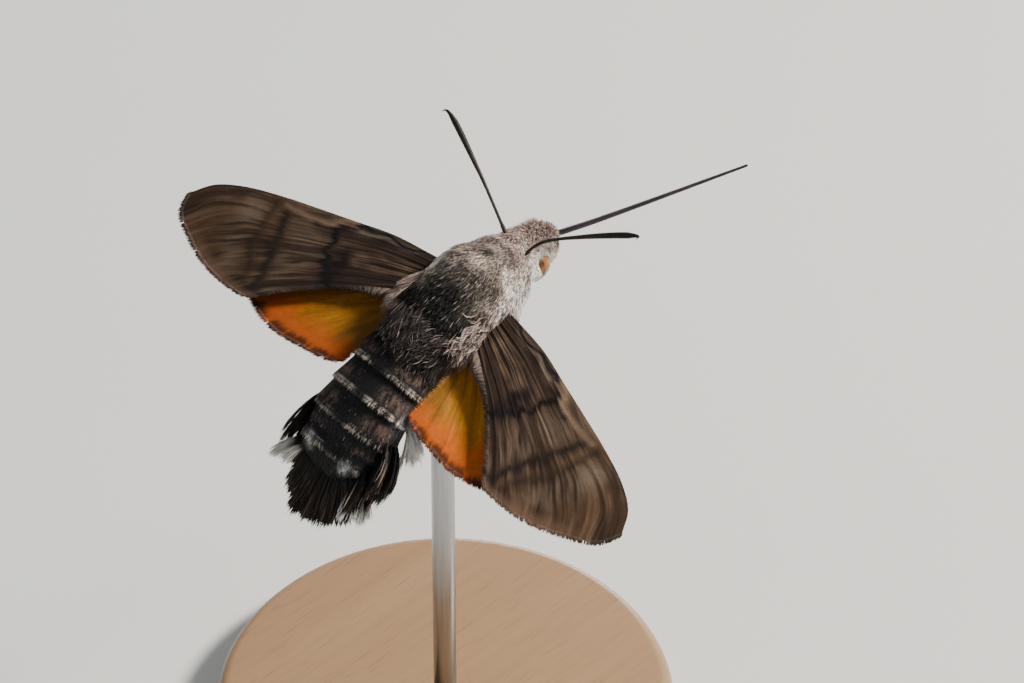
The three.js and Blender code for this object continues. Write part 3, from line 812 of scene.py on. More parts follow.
@dataclass
class BodyForm:
    """The spine of the moth and its girth, as in the solids."""

    spine: SmoothCurve = field(default_factory=lambda: SmoothCurve([
        (0, -8.6, 0.5), (0, -5.6, 0.75), (0, -3.2, 0.75), (0, 0, 0), (0, 4.5, -1.7),
        (0, 7.8, -3.4), (0, 10.5, -5.3), (0, 12.8, -7.5), (0, 15.1, -9.8), (0, 17.0, -12.3),
    ]))
    girths: tuple = (
        (0.4, 0.5, 0.6, 0.3), (0.7, 0.75, 0.85, 0.5), (1.5, 1.2, 1.45, 1.2), (2.6, 1.75, 1.95, 1.75),
        (3.7, 2.05, 2.15, 2.05), (4.6, 2.1, 2.2, 2.15), (5.6, 2.75, 2.6, 2.6), (6.6, 3.2, 2.95, 3.0),
        (8.0, 3.75, 3.3, 3.5), (9.8, 3.95, 3.45, 3.7), (11.8, 3.8, 3.3, 3.4), (13.6, 3.5, 2.95, 2.9),
        (15.3, 3.1, 2.5, 2.4), (17.0, 3.4, 2.6, 2.5), (19.5, 3.7, 2.55, 2.6), (22.0, 3.9, 2.3, 2.5),
        (24.9, 3.3, 1.6, 1.8), (25.8, 2.7, 1.0, 1.2), (26.8, 1.9, 0.4, 0.5),
    )
    coat_depth: tuple = ((0.4, 0.15), (1.5, 0.3), (5.0, 0.4), (9.0, 0.42), (14.5, 0.35), (15.5, 0.14),
                         (26.8, 0.1))
    segment_edges: tuple[float, ...] = (15.2, 17.9, 20.1, 22.15, 24.6)
    segment_step: float = 0.11
    eye_place: tuple[float, float] = (-4.8, 0.1)
    ruff: float = 0.32
    socket: float = 0.72
    socket_width: float = 1.45
    start: float = 0.45
    end: float = 26.9
    softening: float = 0.45

    def half_sizes(self, at: Array) -> Array:
        """Half width, height above and height below: the table's line, averaged over a short stretch.

        Args:
            at: distances from the snout.

        Returns:
            Three sizes for each distance.
        """
        table = np.array(self.girths)
        offsets = np.linspace(-self.softening, self.softening, 5)
        near = np.asarray(at)[..., None] + offsets
        return np.stack([np.interp(near, table[:, 0], table[:, i]).mean(-1) for i in (1, 2, 3)], -1)

    def segment_rise(self, at: Array) -> Array:
        """How far each segment of the abdomen stands out, most at its rear edge, where it drops.

        Args:
            at: distances from the snout.

        Returns:
            One height for each distance.
        """
        edges = np.array(self.segment_edges)
        index = np.clip(np.searchsorted(edges, at) - 1, 0, len(edges) - 2)
        share = (at - edges[index]) / (edges[index + 1] - edges[index])
        inside = (at > edges[0]) & (at < edges[-1])
        return np.where(inside, (2 * share**2 - 1) * self.segment_step, 0)

    def surface(self, at: Array, turn: Array, raised: float = 0.0) -> Array:
        """Points of the skin: the spine, plus cosine and sine of the turn times the half sizes.

        Beside each eye the skin swells outwards, as a bell of the distance from the eye's axis, and
        the ruff of neck and chest swells out at the sides and below.

        Args:
            at: distances from the snout.
            turn: turns round the spine.
            raised: how far above the skin.

        Returns:
            The points.
        """
        wide, up, down = np.moveaxis(self.half_sizes(at), -1, 0)
        depths = np.array(self.coat_depth)
        sine = np.sin(turn)
        shift = raised + self.segment_rise(at) - np.interp(at, depths[:, 0], depths[:, 1])
        shift = shift + self.ruff * hump(at, 7.4, 2.4) * rise_between(-sine, -0.4, 0.2)
        height = np.where(sine > 0, up, down) + shift
        points = self.spine.at(at) + upright(self.spine.way(at)) * (sine * height)[..., None]
        points[..., 0] += np.cos(turn) * (wide + shift)
        off_axis = np.hypot(points[..., 1] - self.eye_place[0], points[..., 2] - self.eye_place[1])
        swell = self.socket * hump(off_axis, 0, self.socket_width)
        points[..., 0] += np.tanh(3 * np.cos(turn)) * swell
        return points

    def frame(self, at: Array, turn: Array, raised: float = 0.0) -> tuple[Array, Array, Array]:
        """Places on the skin with their directions.

        Args:
            at: distances from the snout.
            turn: turns round the spine.
            raised: how far above the skin.

        Returns:
            The points, the unit directions along the skin to the rear, and those out of it.
        """
        step, nudge = 0.12, 0.02
        points = self.surface(at, turn, raised)
        rear = unit(self.surface(at + step, turn) - self.surface(at - step, turn))
        round_way = unit(self.surface(at, turn + nudge) - self.surface(at, turn - nudge))
        out = unit(np.cross(round_way, rear))
        outward = points - self.spine.at(at)
        flip = np.sign((out * outward).sum(-1, keepdims=True))
        return points, rear, out * np.where(flip == 0, 1, flip)

    def unwrap(self, at: Array, turn: Array) -> Array:
        """Places on the flat map of the skin: the turn across and the distance from the snout up."""
        across = np.mod(turn / (2 * np.pi) + 0.25, 1)
        return np.stack([across, (at - self.start) / (self.end + 0.5 - self.start)], -1)


@dataclass(frozen=True)
class BodyMarkings:
    """The colours of skin and coat alike, by place on the body."""

    back: tuple = (
        (0.5, (0.040, 0.020, 0.032)), (0.75, (0.12, 0.08, 0.08)), (1.1, (0.36, 0.26, 0.225)),
        (4.4, (0.34, 0.25, 0.215)), (6.0, (0.22, 0.175, 0.15)), (6.8, (0.27, 0.22, 0.175)),
        (8.0, (0.20, 0.165, 0.135)), (8.8, (0.060, 0.048, 0.041)), (9.6, (0.011, 0.009, 0.008)),
        (13.0, (0.006, 0.005, 0.0045)), (20.0, (0.010, 0.009, 0.0095)), (24.0, (0.0065, 0.0055, 0.0055)),
        (27.0, (0.006, 0.004, 0.003)),
    )
    belly: tuple = (
        (0.5, (0.30, 0.26, 0.22)), (1.6, (0.66, 0.62, 0.54)), (6.0, (0.66, 0.60, 0.52)),
        (9.0, (0.44, 0.38, 0.30)), (14.0, (0.24, 0.185, 0.135)), (18.0, (0.13, 0.095, 0.07)),
        (24.0, (0.06, 0.042, 0.033)), (27.0, (0.02, 0.014, 0.011)),
    )
    sides: tuple = (
        (1.5, (0.34, 0.26, 0.22)), (3.5, (0.62, 0.50, 0.42)), (5.5, (0.82, 0.68, 0.59)),
        (8.0, (0.82, 0.65, 0.56)), (9.2, (0.48, 0.36, 0.30)), (10.2, (0.17, 0.12, 0.10)),
        (12.0, (0.085, 0.06, 0.05)), (15.0, (0.03, 0.022, 0.019)), (25.0, (0.012, 0.010, 0.009)),
    )
    fringe: Colour = (0.58, 0.50, 0.40)
    # painted sheen: a lighter brown-gold where light catches the scales on the abdomen's back
    painted_sheen: Colour = (0.140, 0.090, 0.066)
    shoulder: Colour = (0.21, 0.19, 0.15)
    ridge_buff: Colour = (0.58, 0.46, 0.38)
    shaded_white: Colour = (0.40, 0.41, 0.46)
    pale_cheek: Colour = (0.78, 0.70, 0.63)
    white: Colour = (0.80, 0.79, 0.76)
    # painted shade: near black where the pit behind the collar lies in shade
    painted_pit_shade: Colour = (0.012, 0.009, 0.009)
    fleck: Colour = (0.16, 0.115, 0.09)
    patch_starts: tuple[float, ...] = (15.7, 18.3, 20.5, 22.6)
    patch_ends: tuple[float, ...] = (17.5, 19.7, 21.7, 23.4)
    fringes: tuple[tuple[float, float, float], ...] = (
        (17.9, 0.8, 0.1), (20.1, 1.0, 0.0), (22.15, 0.55, -0.05), (24.6, 0.45, -0.15),
    )

    def colour(self, at: Array, turn: Array) -> Array:
        """Colours at places on the body.

        The back, side and belly lines are mixed by the sine of the turn. Over them lie the white
        line above each eye, a near-black spot of painted shade in the pit behind the collar, the pale
        fringes of the segments, patches of painted sheen between them and the white spots before the tail.

        Args:
            at: distances from the snout.
            turn: turns round the spine.

        Returns:
            One colour for each place.
        """
        rise = np.sin(turn)
        aside = np.abs(np.cos(turn))
        across = np.cos(turn) * 3
        flat = np.stack([at, across, rise * 3], -1)
        mottle = noise(flat, 1.1, 11)
        fine = noise(flat * [1, 2, 2], 0.35, 12)
        streak = noise(np.stack([at * 1.6, np.cos(turn) * 12, rise * 12], -1), 0.6, 13)
        wobble = rise + 0.12 * mottle
        top_low = np.interp(at, [3, 6, 9, 11], [0.35, 0.5, 0.45, 0.3])
        shoulder = hump(at, 9.2, 1.3) * hump(rise, 0.72, 0.16)
        eye_line = hump(rise, 0.54, 0.14) * rise_between(at, 1.0, 1.5) * rise_between(-at, -4.6, -3.2)
        over = rise_between(rise, 0.7, 0.9)
        ridge = hump(at, 7.15, 0.36) * hump(across, -0.3, 0.9) * over
        # where the painted shade of the pit between collar and shoulder lies
        pit_shade = hump(at, 6.3, 0.42) * hump(across, -0.1, 0.42) * over
        cheek = rise_between(-rise, -0.1, 0.25) * rise_between(-at, -8.0, -5.5)
        flecks = rise_between(fine, 0.55, 0.9) * rise_between(at, 3.0, 5.0) * rise_between(-at, -9.0, -8.0)
        layers = [
            (ramp(at, self.back), rise_between(wobble - top_low, 0, 0.3)),
            (ramp(at, self.belly), rise_between(-wobble, 0.05, 0.45)),
            (self.shoulder, 0.55 * shoulder),
            (self.white, 0.9 * eye_line * np.clip(0.8 + 0.5 * fine, 0, 1)),
            (self.ridge_buff, 0.7 * ridge),
            (self.painted_pit_shade, pit_shade),
            (self.pale_cheek, 0.6 * cheek),
            (self.fleck, 0.6 * flecks * rise_between(aside, 0.5, 0.8)),
        ]
        flanks = rise_between(aside, 0.2, 0.55) * rise_between(rise, 0.05, 0.3)
        # patches of painted sheen between the segments' edges, streaked along the scales
        for low, high in zip(self.patch_starts, self.patch_ends):
            inside = rise_between(at, low, low + 0.5) * rise_between(-at, -high, -high + 0.4)
            layers.append((self.painted_sheen, flanks * inside * np.clip(0.6 + 0.7 * streak, 0, 1)))
        dots = np.clip(0.75 + 0.7 * streak, 0, 1)
        for edge, strength, inner in self.fringes:
            line = rise_between(at, edge - 0.33, edge - 0.27) * rise_between(-at, -edge + 0.10, -edge + 0.16)
            reach = rise_between(aside, inner, inner + 0.35) * rise_between(rise, -0.5, 0.1)
            layers.append((self.fringe, strength * line * reach * dots))
        spots = hump(at, 24.65, 0.32) * hump(aside, 0.60, 0.13) * rise_between(rise, 0.2, 0.5)
        patches = hump(at, 20.0, 0.7) * rise_between(aside, 0.80, 0.95) * rise_between(rise, -0.4, 0)
        layers += [
            (self.white, 0.9 * spots),
            (self.shaded_white, 0.55 * patches * np.clip(0.7 + fine, 0, 1)),
        ]
        return painted(ramp(at, self.sides), layers)


@dataclass(frozen=True)
class CoatPatch:
    """One stretch of the body's coat: where it grows and how its hairs lie.

    Lift is in degrees at the start, after a fifth and at the end of the stretch.
    """

    name: str
    slot: str
    count: int
    start: float
    end: float
    length: tuple[float, float]
    width: float
    lift: tuple[float, float, float]
    tousle: float
    clump: float
    tip_gain: float = 1.9
    vary: float = 0.3
    pale_share: float = 0.0
    pale: Colour = (0.42, 0.34, 0.31)
    stations: tuple[float, ...] = (0.0, 0.4, 0.75)
    fullness: tuple[float, ...] = (0.75, 1.0, 0.7)
    curl: float = 0.02
    seed: int = 1
    crest: float = 0.0


@dataclass
class Body:
    """The skin of head, thorax and abdomen, and the coat over it."""

    form: BodyForm = field(default_factory=BodyForm)
    markings: BodyMarkings = field(default_factory=BodyMarkings)
    rows: int = 340
    columns: int = 120
    finish: ScaleFinish = ScaleFinish("skin_scales", 0.7, 0.03, 0.4, 3200.0, 0.00008)
    coat_finish: ScaleFinish = ScaleFinish("fur", sheen=0.05, specular=0.13)
    scale_finish: ScaleFinish = ScaleFinish("body_scales", 0.5, 0.04, 0.3, 2600.0, 0.00003, 0.25)
    eye_centre: tuple[float, float, float] = (1.17, -5.05, 0.45)
    eye_radius: float = 1.22
    eye_margin: float = -0.06
    root_depth: float = 0.05
    clump_size: float = 0.55
    # painted shade: the skin under the coat is darkened to this share of the markings
    skin_tone: float = 0.7
    # painted shade: each hair's foot is darkened to this share of its colour, as shade deep in the coat
    hair_foot_tone: float = 0.4
    patches: tuple[CoatPatch, ...] = (
        CoatPatch("coat_head", "pale_fur", 12400, 0.5, 5.2, (0.42, 0.9), 0.075, (112, 52, 34), 0.22,
                  0.25, 2.5, 0.55, 0.10, (0.62, 0.50, 0.44), curl=0.05, seed=21, crest=0.35),
        CoatPatch("coat_collar", "pale_fur", 12400, 4.9, 8.0, (0.95, 1.2), 0.085, (24, 18, 13), 0.12,
                  0.15, 1.8, 0.3, 0.04, (0.62, 0.55, 0.50), seed=22),
        CoatPatch("coat_thorax", "pale_fur", 12400, 7.8, 11.6, (1.15, 1.6), 0.09, (13, 12, 13), 0.12,
                  0.2, 1.9, 0.45, 0.06, (0.5, 0.41, 0.36), seed=23),
        CoatPatch("coat_rump", "pale_fur", 9000, 11.4, 15.3, (1.6, 2.2), 0.09, (13, 12, 9), 0.18, 0.4,
                  2.2, 0.5, 0.10, (0.30, 0.23, 0.20), (0.0, 0.3, 0.55, 0.8), (0.75, 1.0, 0.9, 0.6),
                  0.05, 24),
        CoatPatch("coat_abdomen_front", "dark_scales", 14000, 15.0, 20.1, (0.42, 0.42), 0.13,
                  (6, 6, 6), 0.07, 0.0, 1.35, 0.3, 0.01, stations=(0.0, 0.55), fullness=(0.9, 1.0),
                  curl=0.0, seed=25),
        CoatPatch("coat_abdomen_rear", "dark_scales", 14000, 20.0, 26.6, (0.42, 0.8), 0.13,
                  (6, 6, 10), 0.07, 0.0, 1.35, 0.3, 0.01, stations=(0.0, 0.55), fullness=(0.9, 1.0),
                  curl=0.0, seed=26),
    )

    def skin(self) -> Piece:
        """The skin as rings from the snout to the end of the abdomen.

        Returns:
            The piece.
        """
        at = np.linspace(self.form.start, self.form.end, self.rows)
        at_grid, turn_grid = np.meshgrid(at, full_turn(self.columns), indexing="ij")
        points = ringed(self.form.surface(at_grid, turn_grid))
        colours = self.markings.colour(at_grid, turn_grid).reshape(-1, 3)
        # the skin's colours are darkened as painted shade under the coat
        shades = np.vstack([colours, colours[0], colours[-1]]) * self.skin_tone
        return Piece("body_skin", "pale_fur", points, ring_faces(self.rows, self.columns), shades)

    def roots(self, patch: CoatPatch) -> tuple[Array, Array]:
        """Evenly scattered roots of a stretch: an additive sequence, denser where the girth is greater.

        Args:
            patch: the stretch.

        Returns:
            The distances from the snout and the turns.
        """
        plastic_ratio = 1.32471795724
        index = np.arange(1, patch.count + 1)
        across = np.mod(index / plastic_ratio, 1)
        along = np.mod(index / plastic_ratio**2, 1)
        at = np.linspace(patch.start, patch.end, 200)
        girth = self.form.half_sizes(at).sum(-1)
        grown = np.concatenate([[0], np.cumsum((girth[1:] + girth[:-1]) / 2)])
        return np.interp(along, grown / grown[-1], at), across * 2 * np.pi

    def eye_gap(self, points: Array) -> Array:
        """How far points are from the ball of the nearer eye."""
        folded = points * np.where(points[:, :1] > 0, [1, 1, 1], [-1, 1, 1])
        return np.linalg.norm(folded - np.array(self.eye_centre), axis=1) - self.eye_radius

    def clump_middle(self, at: Array, turn: Array) -> Array:
        """The middle of each hair's clump, which is a square cell of the skin.

        Args:
            at: the hairs' distances from the snout.
            turn: their turns round the spine.

        Returns:
            The points.
        """
        cell = self.clump_size
        steps = np.round(2 * np.pi * self.form.half_sizes(at)[:, 0] / cell)
        middle_at = (np.floor(at / cell) + 0.5) * cell
        middle_turn = (np.floor(turn / (2 * np.pi) * steps) + 0.5) / steps * 2 * np.pi
        return self.form.surface(middle_at, middle_turn)

    def coat(self, patch: CoatPatch) -> Piece:
        """The hairs of one stretch.

        A hair starts at its lift off the skin and lies down as it goes. Noise turns it aside, and
        it leans towards the middle of its clump. None grows on an eye.

        Args:
            patch: the stretch.

        Returns:
            The piece.
        """
        random = np.random.default_rng(patch.seed)
        at, turn = self.roots(patch)
        points, rear, out = self.form.frame(at, turn, -self.root_depth)
        gap = self.eye_gap(points)
        clear = gap > self.eye_margin
        at, turn, points, rear, out, gap = (a[clear] for a in (at, turn, points, rear, out, gap))
        count = len(at)
        share = (at - patch.start) / (patch.end - patch.start)
        across = unit(np.cross(rear, out))
        swirl = noise(points, 2.4, patch.seed + 1) * patch.tousle
        aside = across * (swirl + random.normal(0, patch.tousle * 0.5, count))[:, None]
        lift = np.radians(np.interp(share, [0, 0.2, 1], patch.lift)) * random.uniform(0.6, 1.4, count)
        lift *= 1 + 0.35 * noise(points, 1.4, patch.seed + 2)
        length = np.interp(share, [0, 1], patch.length) * random.uniform(0.75, 1.2, count)
        crest = patch.crest * hump(at, 1.7, 1.0) * rise_between(np.sin(turn), 0.2, 0.8)
        ruff = hump(at, 7.0, 2.4) * rise_between(-np.sin(turn), -0.3, 0.3)
        length *= (1 + crest + 0.2 * ruff) * (1 - 0.5 * hump(gap, 0, 0.45))
        lift *= 1 + 0.35 * crest + 0.5 * ruff
        lean = patch.clump * (self.clump_middle(at, turn) - points) / length[:, None]
        start = unit(raised(rear, out, lift) + aside)
        fallen = lift * (0.35 + 0.3 * rise_between(lift, 0.9, 1.8))
        end = unit(raised(rear, out, fallen) + aside * 1.6 + lean)
        colour = self.markings.colour(at, turn)
        bright = brightness(random, patch.vary, count)
        bright = bright * np.clip(1 + 0.22 * noise(points, 0.9, patch.seed + 3), 0.5, 1.5)[:, None]
        high = colour * patch.tip_gain * bright
        pale = (random.uniform(size=count) < patch.pale_share) & (np.sin(turn) > -0.2)
        high = np.where(pale[:, None], np.maximum(patch.pale, high), high)
        width = patch.width * random.uniform(0.7, 1.25, count)
        # each hair runs from painted shade at its foot to the lighter tip colour
        return Hairs(
            points, start, end, out, length, width, colour * self.hair_foot_tone * bright, high,
            self.form.unwrap(at, turn), patch.curl, 0.3, None, patch.stations, patch.fullness,
        ).piece(patch.name, patch.slot)

    def build(self) -> None:
        """Builds the skin, which stands for all the flesh, and every stretch of coat."""
        self.skin().build(self.finish.material(), "head", "collar", "thorax", "abdomen", "tail_fan")
        fur, scales = self.coat_finish.material(), self.scale_finish.material()
        for patch in self.patches:
            self.coat(patch).build(fur if patch.slot == "pale_fur" else scales)


@dataclass(frozen=True)
class Tuft:
    """A tuft of long scales on each side of the body.

    Strands gathers the scales into that many bundles, spread over the tuft's turns.
    """

    name: str
    slot: str
    count: int
    at: tuple[float, float]
    turns: tuple[float, float]
    length: float
    width: float
    lift: float
    low: Colour
    high: Colour
    turning: tuple[float, float] = (0.0, 1.0)
    spread: float = 0.12
    strands: int = 0
    curl: float = 0.02
    shading: float = 0.2
    pale_share: float = 0.0
    pale: Colour = (0.42, 0.30, 0.24)
    seed: int = 31
    settle: float = 0.5
    fan: float = 0.0
    sides: tuple[Side, ...] = (Side.LEFT, Side.RIGHT)


@dataclass
class Tufts:
    """The long tufts beside the abdomen, at the wing roots and over the rump."""

    form: BodyForm
    finish: ScaleFinish = ScaleFinish("long_scales", 0.5, 0.05, 0.25, 2400.0, 0.00002, 0.2)
    root_depth: float = 0.12
    gather: float = 0.36
    tufts: tuple[Tuft, ...] = (
        Tuft("tuft_white_front", "white_scales", 420, (19.2, 20.0), (-42, 12), 3.5, 0.15, 58,
             (0.42, 0.30, 0.22), (1.0, 0.94, 0.86), (0.05, 0.3), 0.015, 6, 0.01, 0.1, seed=31,
             settle=0.6, fan=0.95, sides=(Side.RIGHT,)),
        Tuft("tuft_white_front", "white_scales", 420, (19.1, 20.0), (-68, -26), 3.4, 0.19, 24,
             (0.42, 0.30, 0.22), (0.97, 0.91, 0.83), (0.1, 0.4), 0.05, 6, 0.01, 0.1, seed=31,
             sides=(Side.LEFT,)),
        Tuft("tuft_black", "dark_scales", 820, (21.4, 23.0), (-44, 26), 3.9, 0.18, 50,
             (0.005, 0.0038, 0.0032), (0.018, 0.010, 0.006), (0.2, 1.0), 0.06, 7, 0.02, 0.4, 0.07,
             seed=33, settle=0.05, sides=(Side.RIGHT,)),
        Tuft("tuft_black", "dark_scales", 760, (21.4, 23.0), (-44, 26), 3.7, 0.18, 24,
             (0.008, 0.006, 0.005), (0.030, 0.017, 0.010), (0.2, 1.0), 0.06, 7, 0.02, 0.4, 0.07,
             seed=33, settle=-0.1, sides=(Side.LEFT,)),
        Tuft("tuft_black_rear", "dark_scales", 460, (23.6, 25.0), (-34, 30), 3.3, 0.18, 40,
             (0.006, 0.0045, 0.004), (0.022, 0.013, 0.008), (0.2, 1.0), 0.08, 4, 0.02, 0.4, 0.07,
             seed=34, settle=0.1, sides=(Side.RIGHT,)),
        Tuft("tuft_white_rear", "white_scales", 580, (25.0, 25.5), (-32, 24), 3.2, 0.19, 40,
             (0.035, 0.022, 0.016), (1.0, 0.94, 0.86), (0.70, 0.85), 0.08, 7, 0.01, 0.1, seed=35,
             settle=0.65, fan=-1.2, sides=(Side.RIGHT,)),
        Tuft("tuft_white_rear", "white_scales", 420, (25.0, 25.5), (-34, 22), 3.1, 0.18, 42,
             (0.035, 0.022, 0.016), (0.97, 0.91, 0.83), (0.3, 0.55), 0.06, 5, 0.01, 0.1, seed=35,
             sides=(Side.LEFT,)),
        Tuft("tuft_wing_root", "pale_fur", 420, (9.8, 12.3), (4, 34), 2.5, 0.10, 30,
             (0.07, 0.05, 0.04), (0.36, 0.27, 0.23), (0.0, 1.0), 0.26, 0, 0.12, 0.6, 0.18,
             (0.75, 0.62, 0.56), 37),
        Tuft("tuft_rump", "pale_fur", 460, (12.2, 14.4), (24, 88), 2.6, 0.10, 11,
             (0.014, 0.011, 0.010), (0.045, 0.034, 0.030), (0.0, 1.0), 0.22, 0, 0.08, 0.6, 0.11,
             (0.33, 0.26, 0.23), 39),
    )

    def hairs(self, tuft: Tuft, side: Side) -> Piece:
        """The scales of one tuft on one side: each leaves the body at the lift and bends half back.

        Args:
            tuft: the tuft.
            side: the side of the moth.

        Returns:
            The piece.
        """
        random = np.random.default_rng(tuft.seed + (side is Side.RIGHT))
        count = tuft.count
        at = random.uniform(*tuft.at, count)
        place = random.uniform(0, 1, count)
        strand = np.floor(place * max(tuft.strands, 1))
        if tuft.strands:
            place = (strand + 0.5 + self.gather * (place * tuft.strands - strand - 0.5)) / tuft.strands
        turn = np.radians(tuft.turns[0] + place * (tuft.turns[1] - tuft.turns[0]))
        if side is Side.RIGHT:
            turn = np.pi - turn
        way = self.form.spine.way(at)
        out = upright(way) * np.sin(turn)[:, None]
        out[:, 0] += np.cos(turn)
        across = unit(np.cross(way, out))
        points = self.form.surface(at, turn, -self.root_depth)
        bundle = random.normal(0, 1, (int(strand.max()) + 1, 3))[strand.astype(int)]
        loose = 0.0 if tuft.strands else 1.0
        lift = np.radians(tuft.lift) * (1 + 0.1 * bundle[:, 0])
        lift *= 1 + tuft.fan * ((strand + 0.5) / max(tuft.strands, 1) - 0.5)
        lift *= random.uniform(0.88 - 0.3 * loose, 1.05, count)
        aside = random.normal(0, tuft.spread, count) + tuft.spread * bundle[:, 1]
        closing = -0.35 * aside * (1 - loose) + 1.3 * aside * loose
        start = unit(raised(way, out, lift) + across * aside[:, None])
        end = unit(raised(way, out, lift * tuft.settle) + across * closing[:, None])
        length = tuft.length * random.uniform(0.76, 1.05, count) * (1 + 0.06 * bundle[:, 2])
        shade = brightness(random, tuft.shading, count)
        width = tuft.width * random.uniform(0.6, 1.2, count)
        low, high = np.array(tuft.low) * shade, np.array(tuft.high) * np.minimum(shade, 1.6)
        pale = random.uniform(size=(count, 1)) < tuft.pale_share
        high = np.where(pale, np.array(tuft.pale), high)
        return Hairs(
            points, start, end, out, length, width, low, high, self.form.unwrap(at, turn), tuft.curl,
            0.25, tuft.turning, LONG_STATIONS, (0.6, 0.95, 1.0, 0.85, 0.45),
        ).piece(f"{tuft.name}_{side.word}", tuft.slot)

    def build(self) -> None:
        """Builds each tuft on both sides."""
        material = self.finish.material()
        for tuft in self.tufts:
            for side in tuft.sides:
                self.hairs(tuft, side).build(material)


@dataclass
class TailFan:
    """The fan of long scales that ends the abdomen."""

    form: BodyForm
    count: int = 4200
    root_at: float = 25.1
    half_width: float = 2.35
    half_height: float = 0.8
    splay_left: float = 6.0
    splay_right: float = 33.0
    closing: float = 0.17
    length: float = 5.0
    shorter_left: float = 2.7
    shorter_right: float = 1.4
    width: float = 0.18
    low: Colour = (0.006, 0.0042, 0.0034)
    high: Colour = (0.024, 0.014, 0.0085)
    brown: Colour = (0.085, 0.058, 0.038)
    rust: Colour = (0.20, 0.095, 0.04)
    rust_share: float = 0.05
    unevenness: float = 0.55
    seed: int = 41
    finish: ScaleFinish = ScaleFinish("tail_scales_finish", 0.5, 0.03, 0.25, 2400.0, 0.00002, 0.2)

    def build(self) -> None:
        """Builds the scales: rooted across the end of the body, splayed by their place, and uneven."""
        random = np.random.default_rng(self.seed)
        count = self.count
        across = random.uniform(-1, 1, count)
        layer = random.uniform(-1, 1, count)
        at = self.root_at + random.uniform(-0.3, 1.0, count)
        way = self.form.spine.way(at)
        up = upright(way)
        narrowing = np.interp(at, [25, 26.2], [1, 0.8])
        root = self.form.spine.at(at) + up * (layer * self.half_height * narrowing)[:, None]
        root[:, 0] = across * self.half_width * narrowing * np.where(across > 0, 0.9, 1)
        widest = np.where(across > 0, self.splay_left, self.splay_right)
        splay = np.radians(widest) * across + random.normal(0, 0.05, count)
        start = way * np.cos(splay)[:, None] - up * (layer * self.closing)[:, None]
        start[:, 0] += np.sin(splay)
        start += up * random.normal(0, 0.03, (count, 1))
        start = unit(start)
        end = unit(start + up * random.normal(0, 0.04, (count, 1)) + [0.05, 0, 0] * across[:, None])
        out = unit(up * np.where(layer > 0, 1, -1)[:, None] + [0.3, 0, 0] * across[:, None])
        ragged = 1 + 0.05 * noise(np.stack([across * 6, layer], -1), 1.2, 42)
        shorter = np.where(across > 0, self.shorter_left, self.shorter_right)
        length = (self.length - shorter * across**2) * ragged * random.uniform(0.55, 1.04, count)
        length -= at - self.root_at
        shade = brightness(random, self.unevenness, count, 3)
        low = np.array(self.low) * shade
        high = np.array(self.high) * shade
        streak = hump(np.abs(across), 0.42, 0.2) * rise_between(layer, -0.1, 0.5)
        high = blend(high, self.brown, 0.6 * streak * random.uniform(0, 1, count))
        rusty = random.uniform(size=(count, 1)) < self.rust_share
        high = np.where(rusty, self.rust, high)
        unwrap = np.stack([0.5 + across * 0.3, 0.93 + 0.04 * layer], -1)
        piece = Hairs(
            root, start, end, out, length, self.width * random.uniform(0.5, 1.2, count), low, high, unwrap,
            0.015, 0.2, (0.2, 1.0), LONG_STATIONS, (0.7, 0.95, 1.0, 0.9, 0.5),
        ).piece("tail_fan_scales", "tail_scales")
        piece.build(self.finish.material())


def ball_ways(polar: Array, turn: Array, side: Side) -> Array:
    """Unit ways at an angle from the axis that points to a side, and at a turn round that axis."""
    return np.stack([np.cos(polar) * side.value, np.sin(polar) * np.cos(turn),
                     np.sin(polar) * np.sin(turn)], -1)


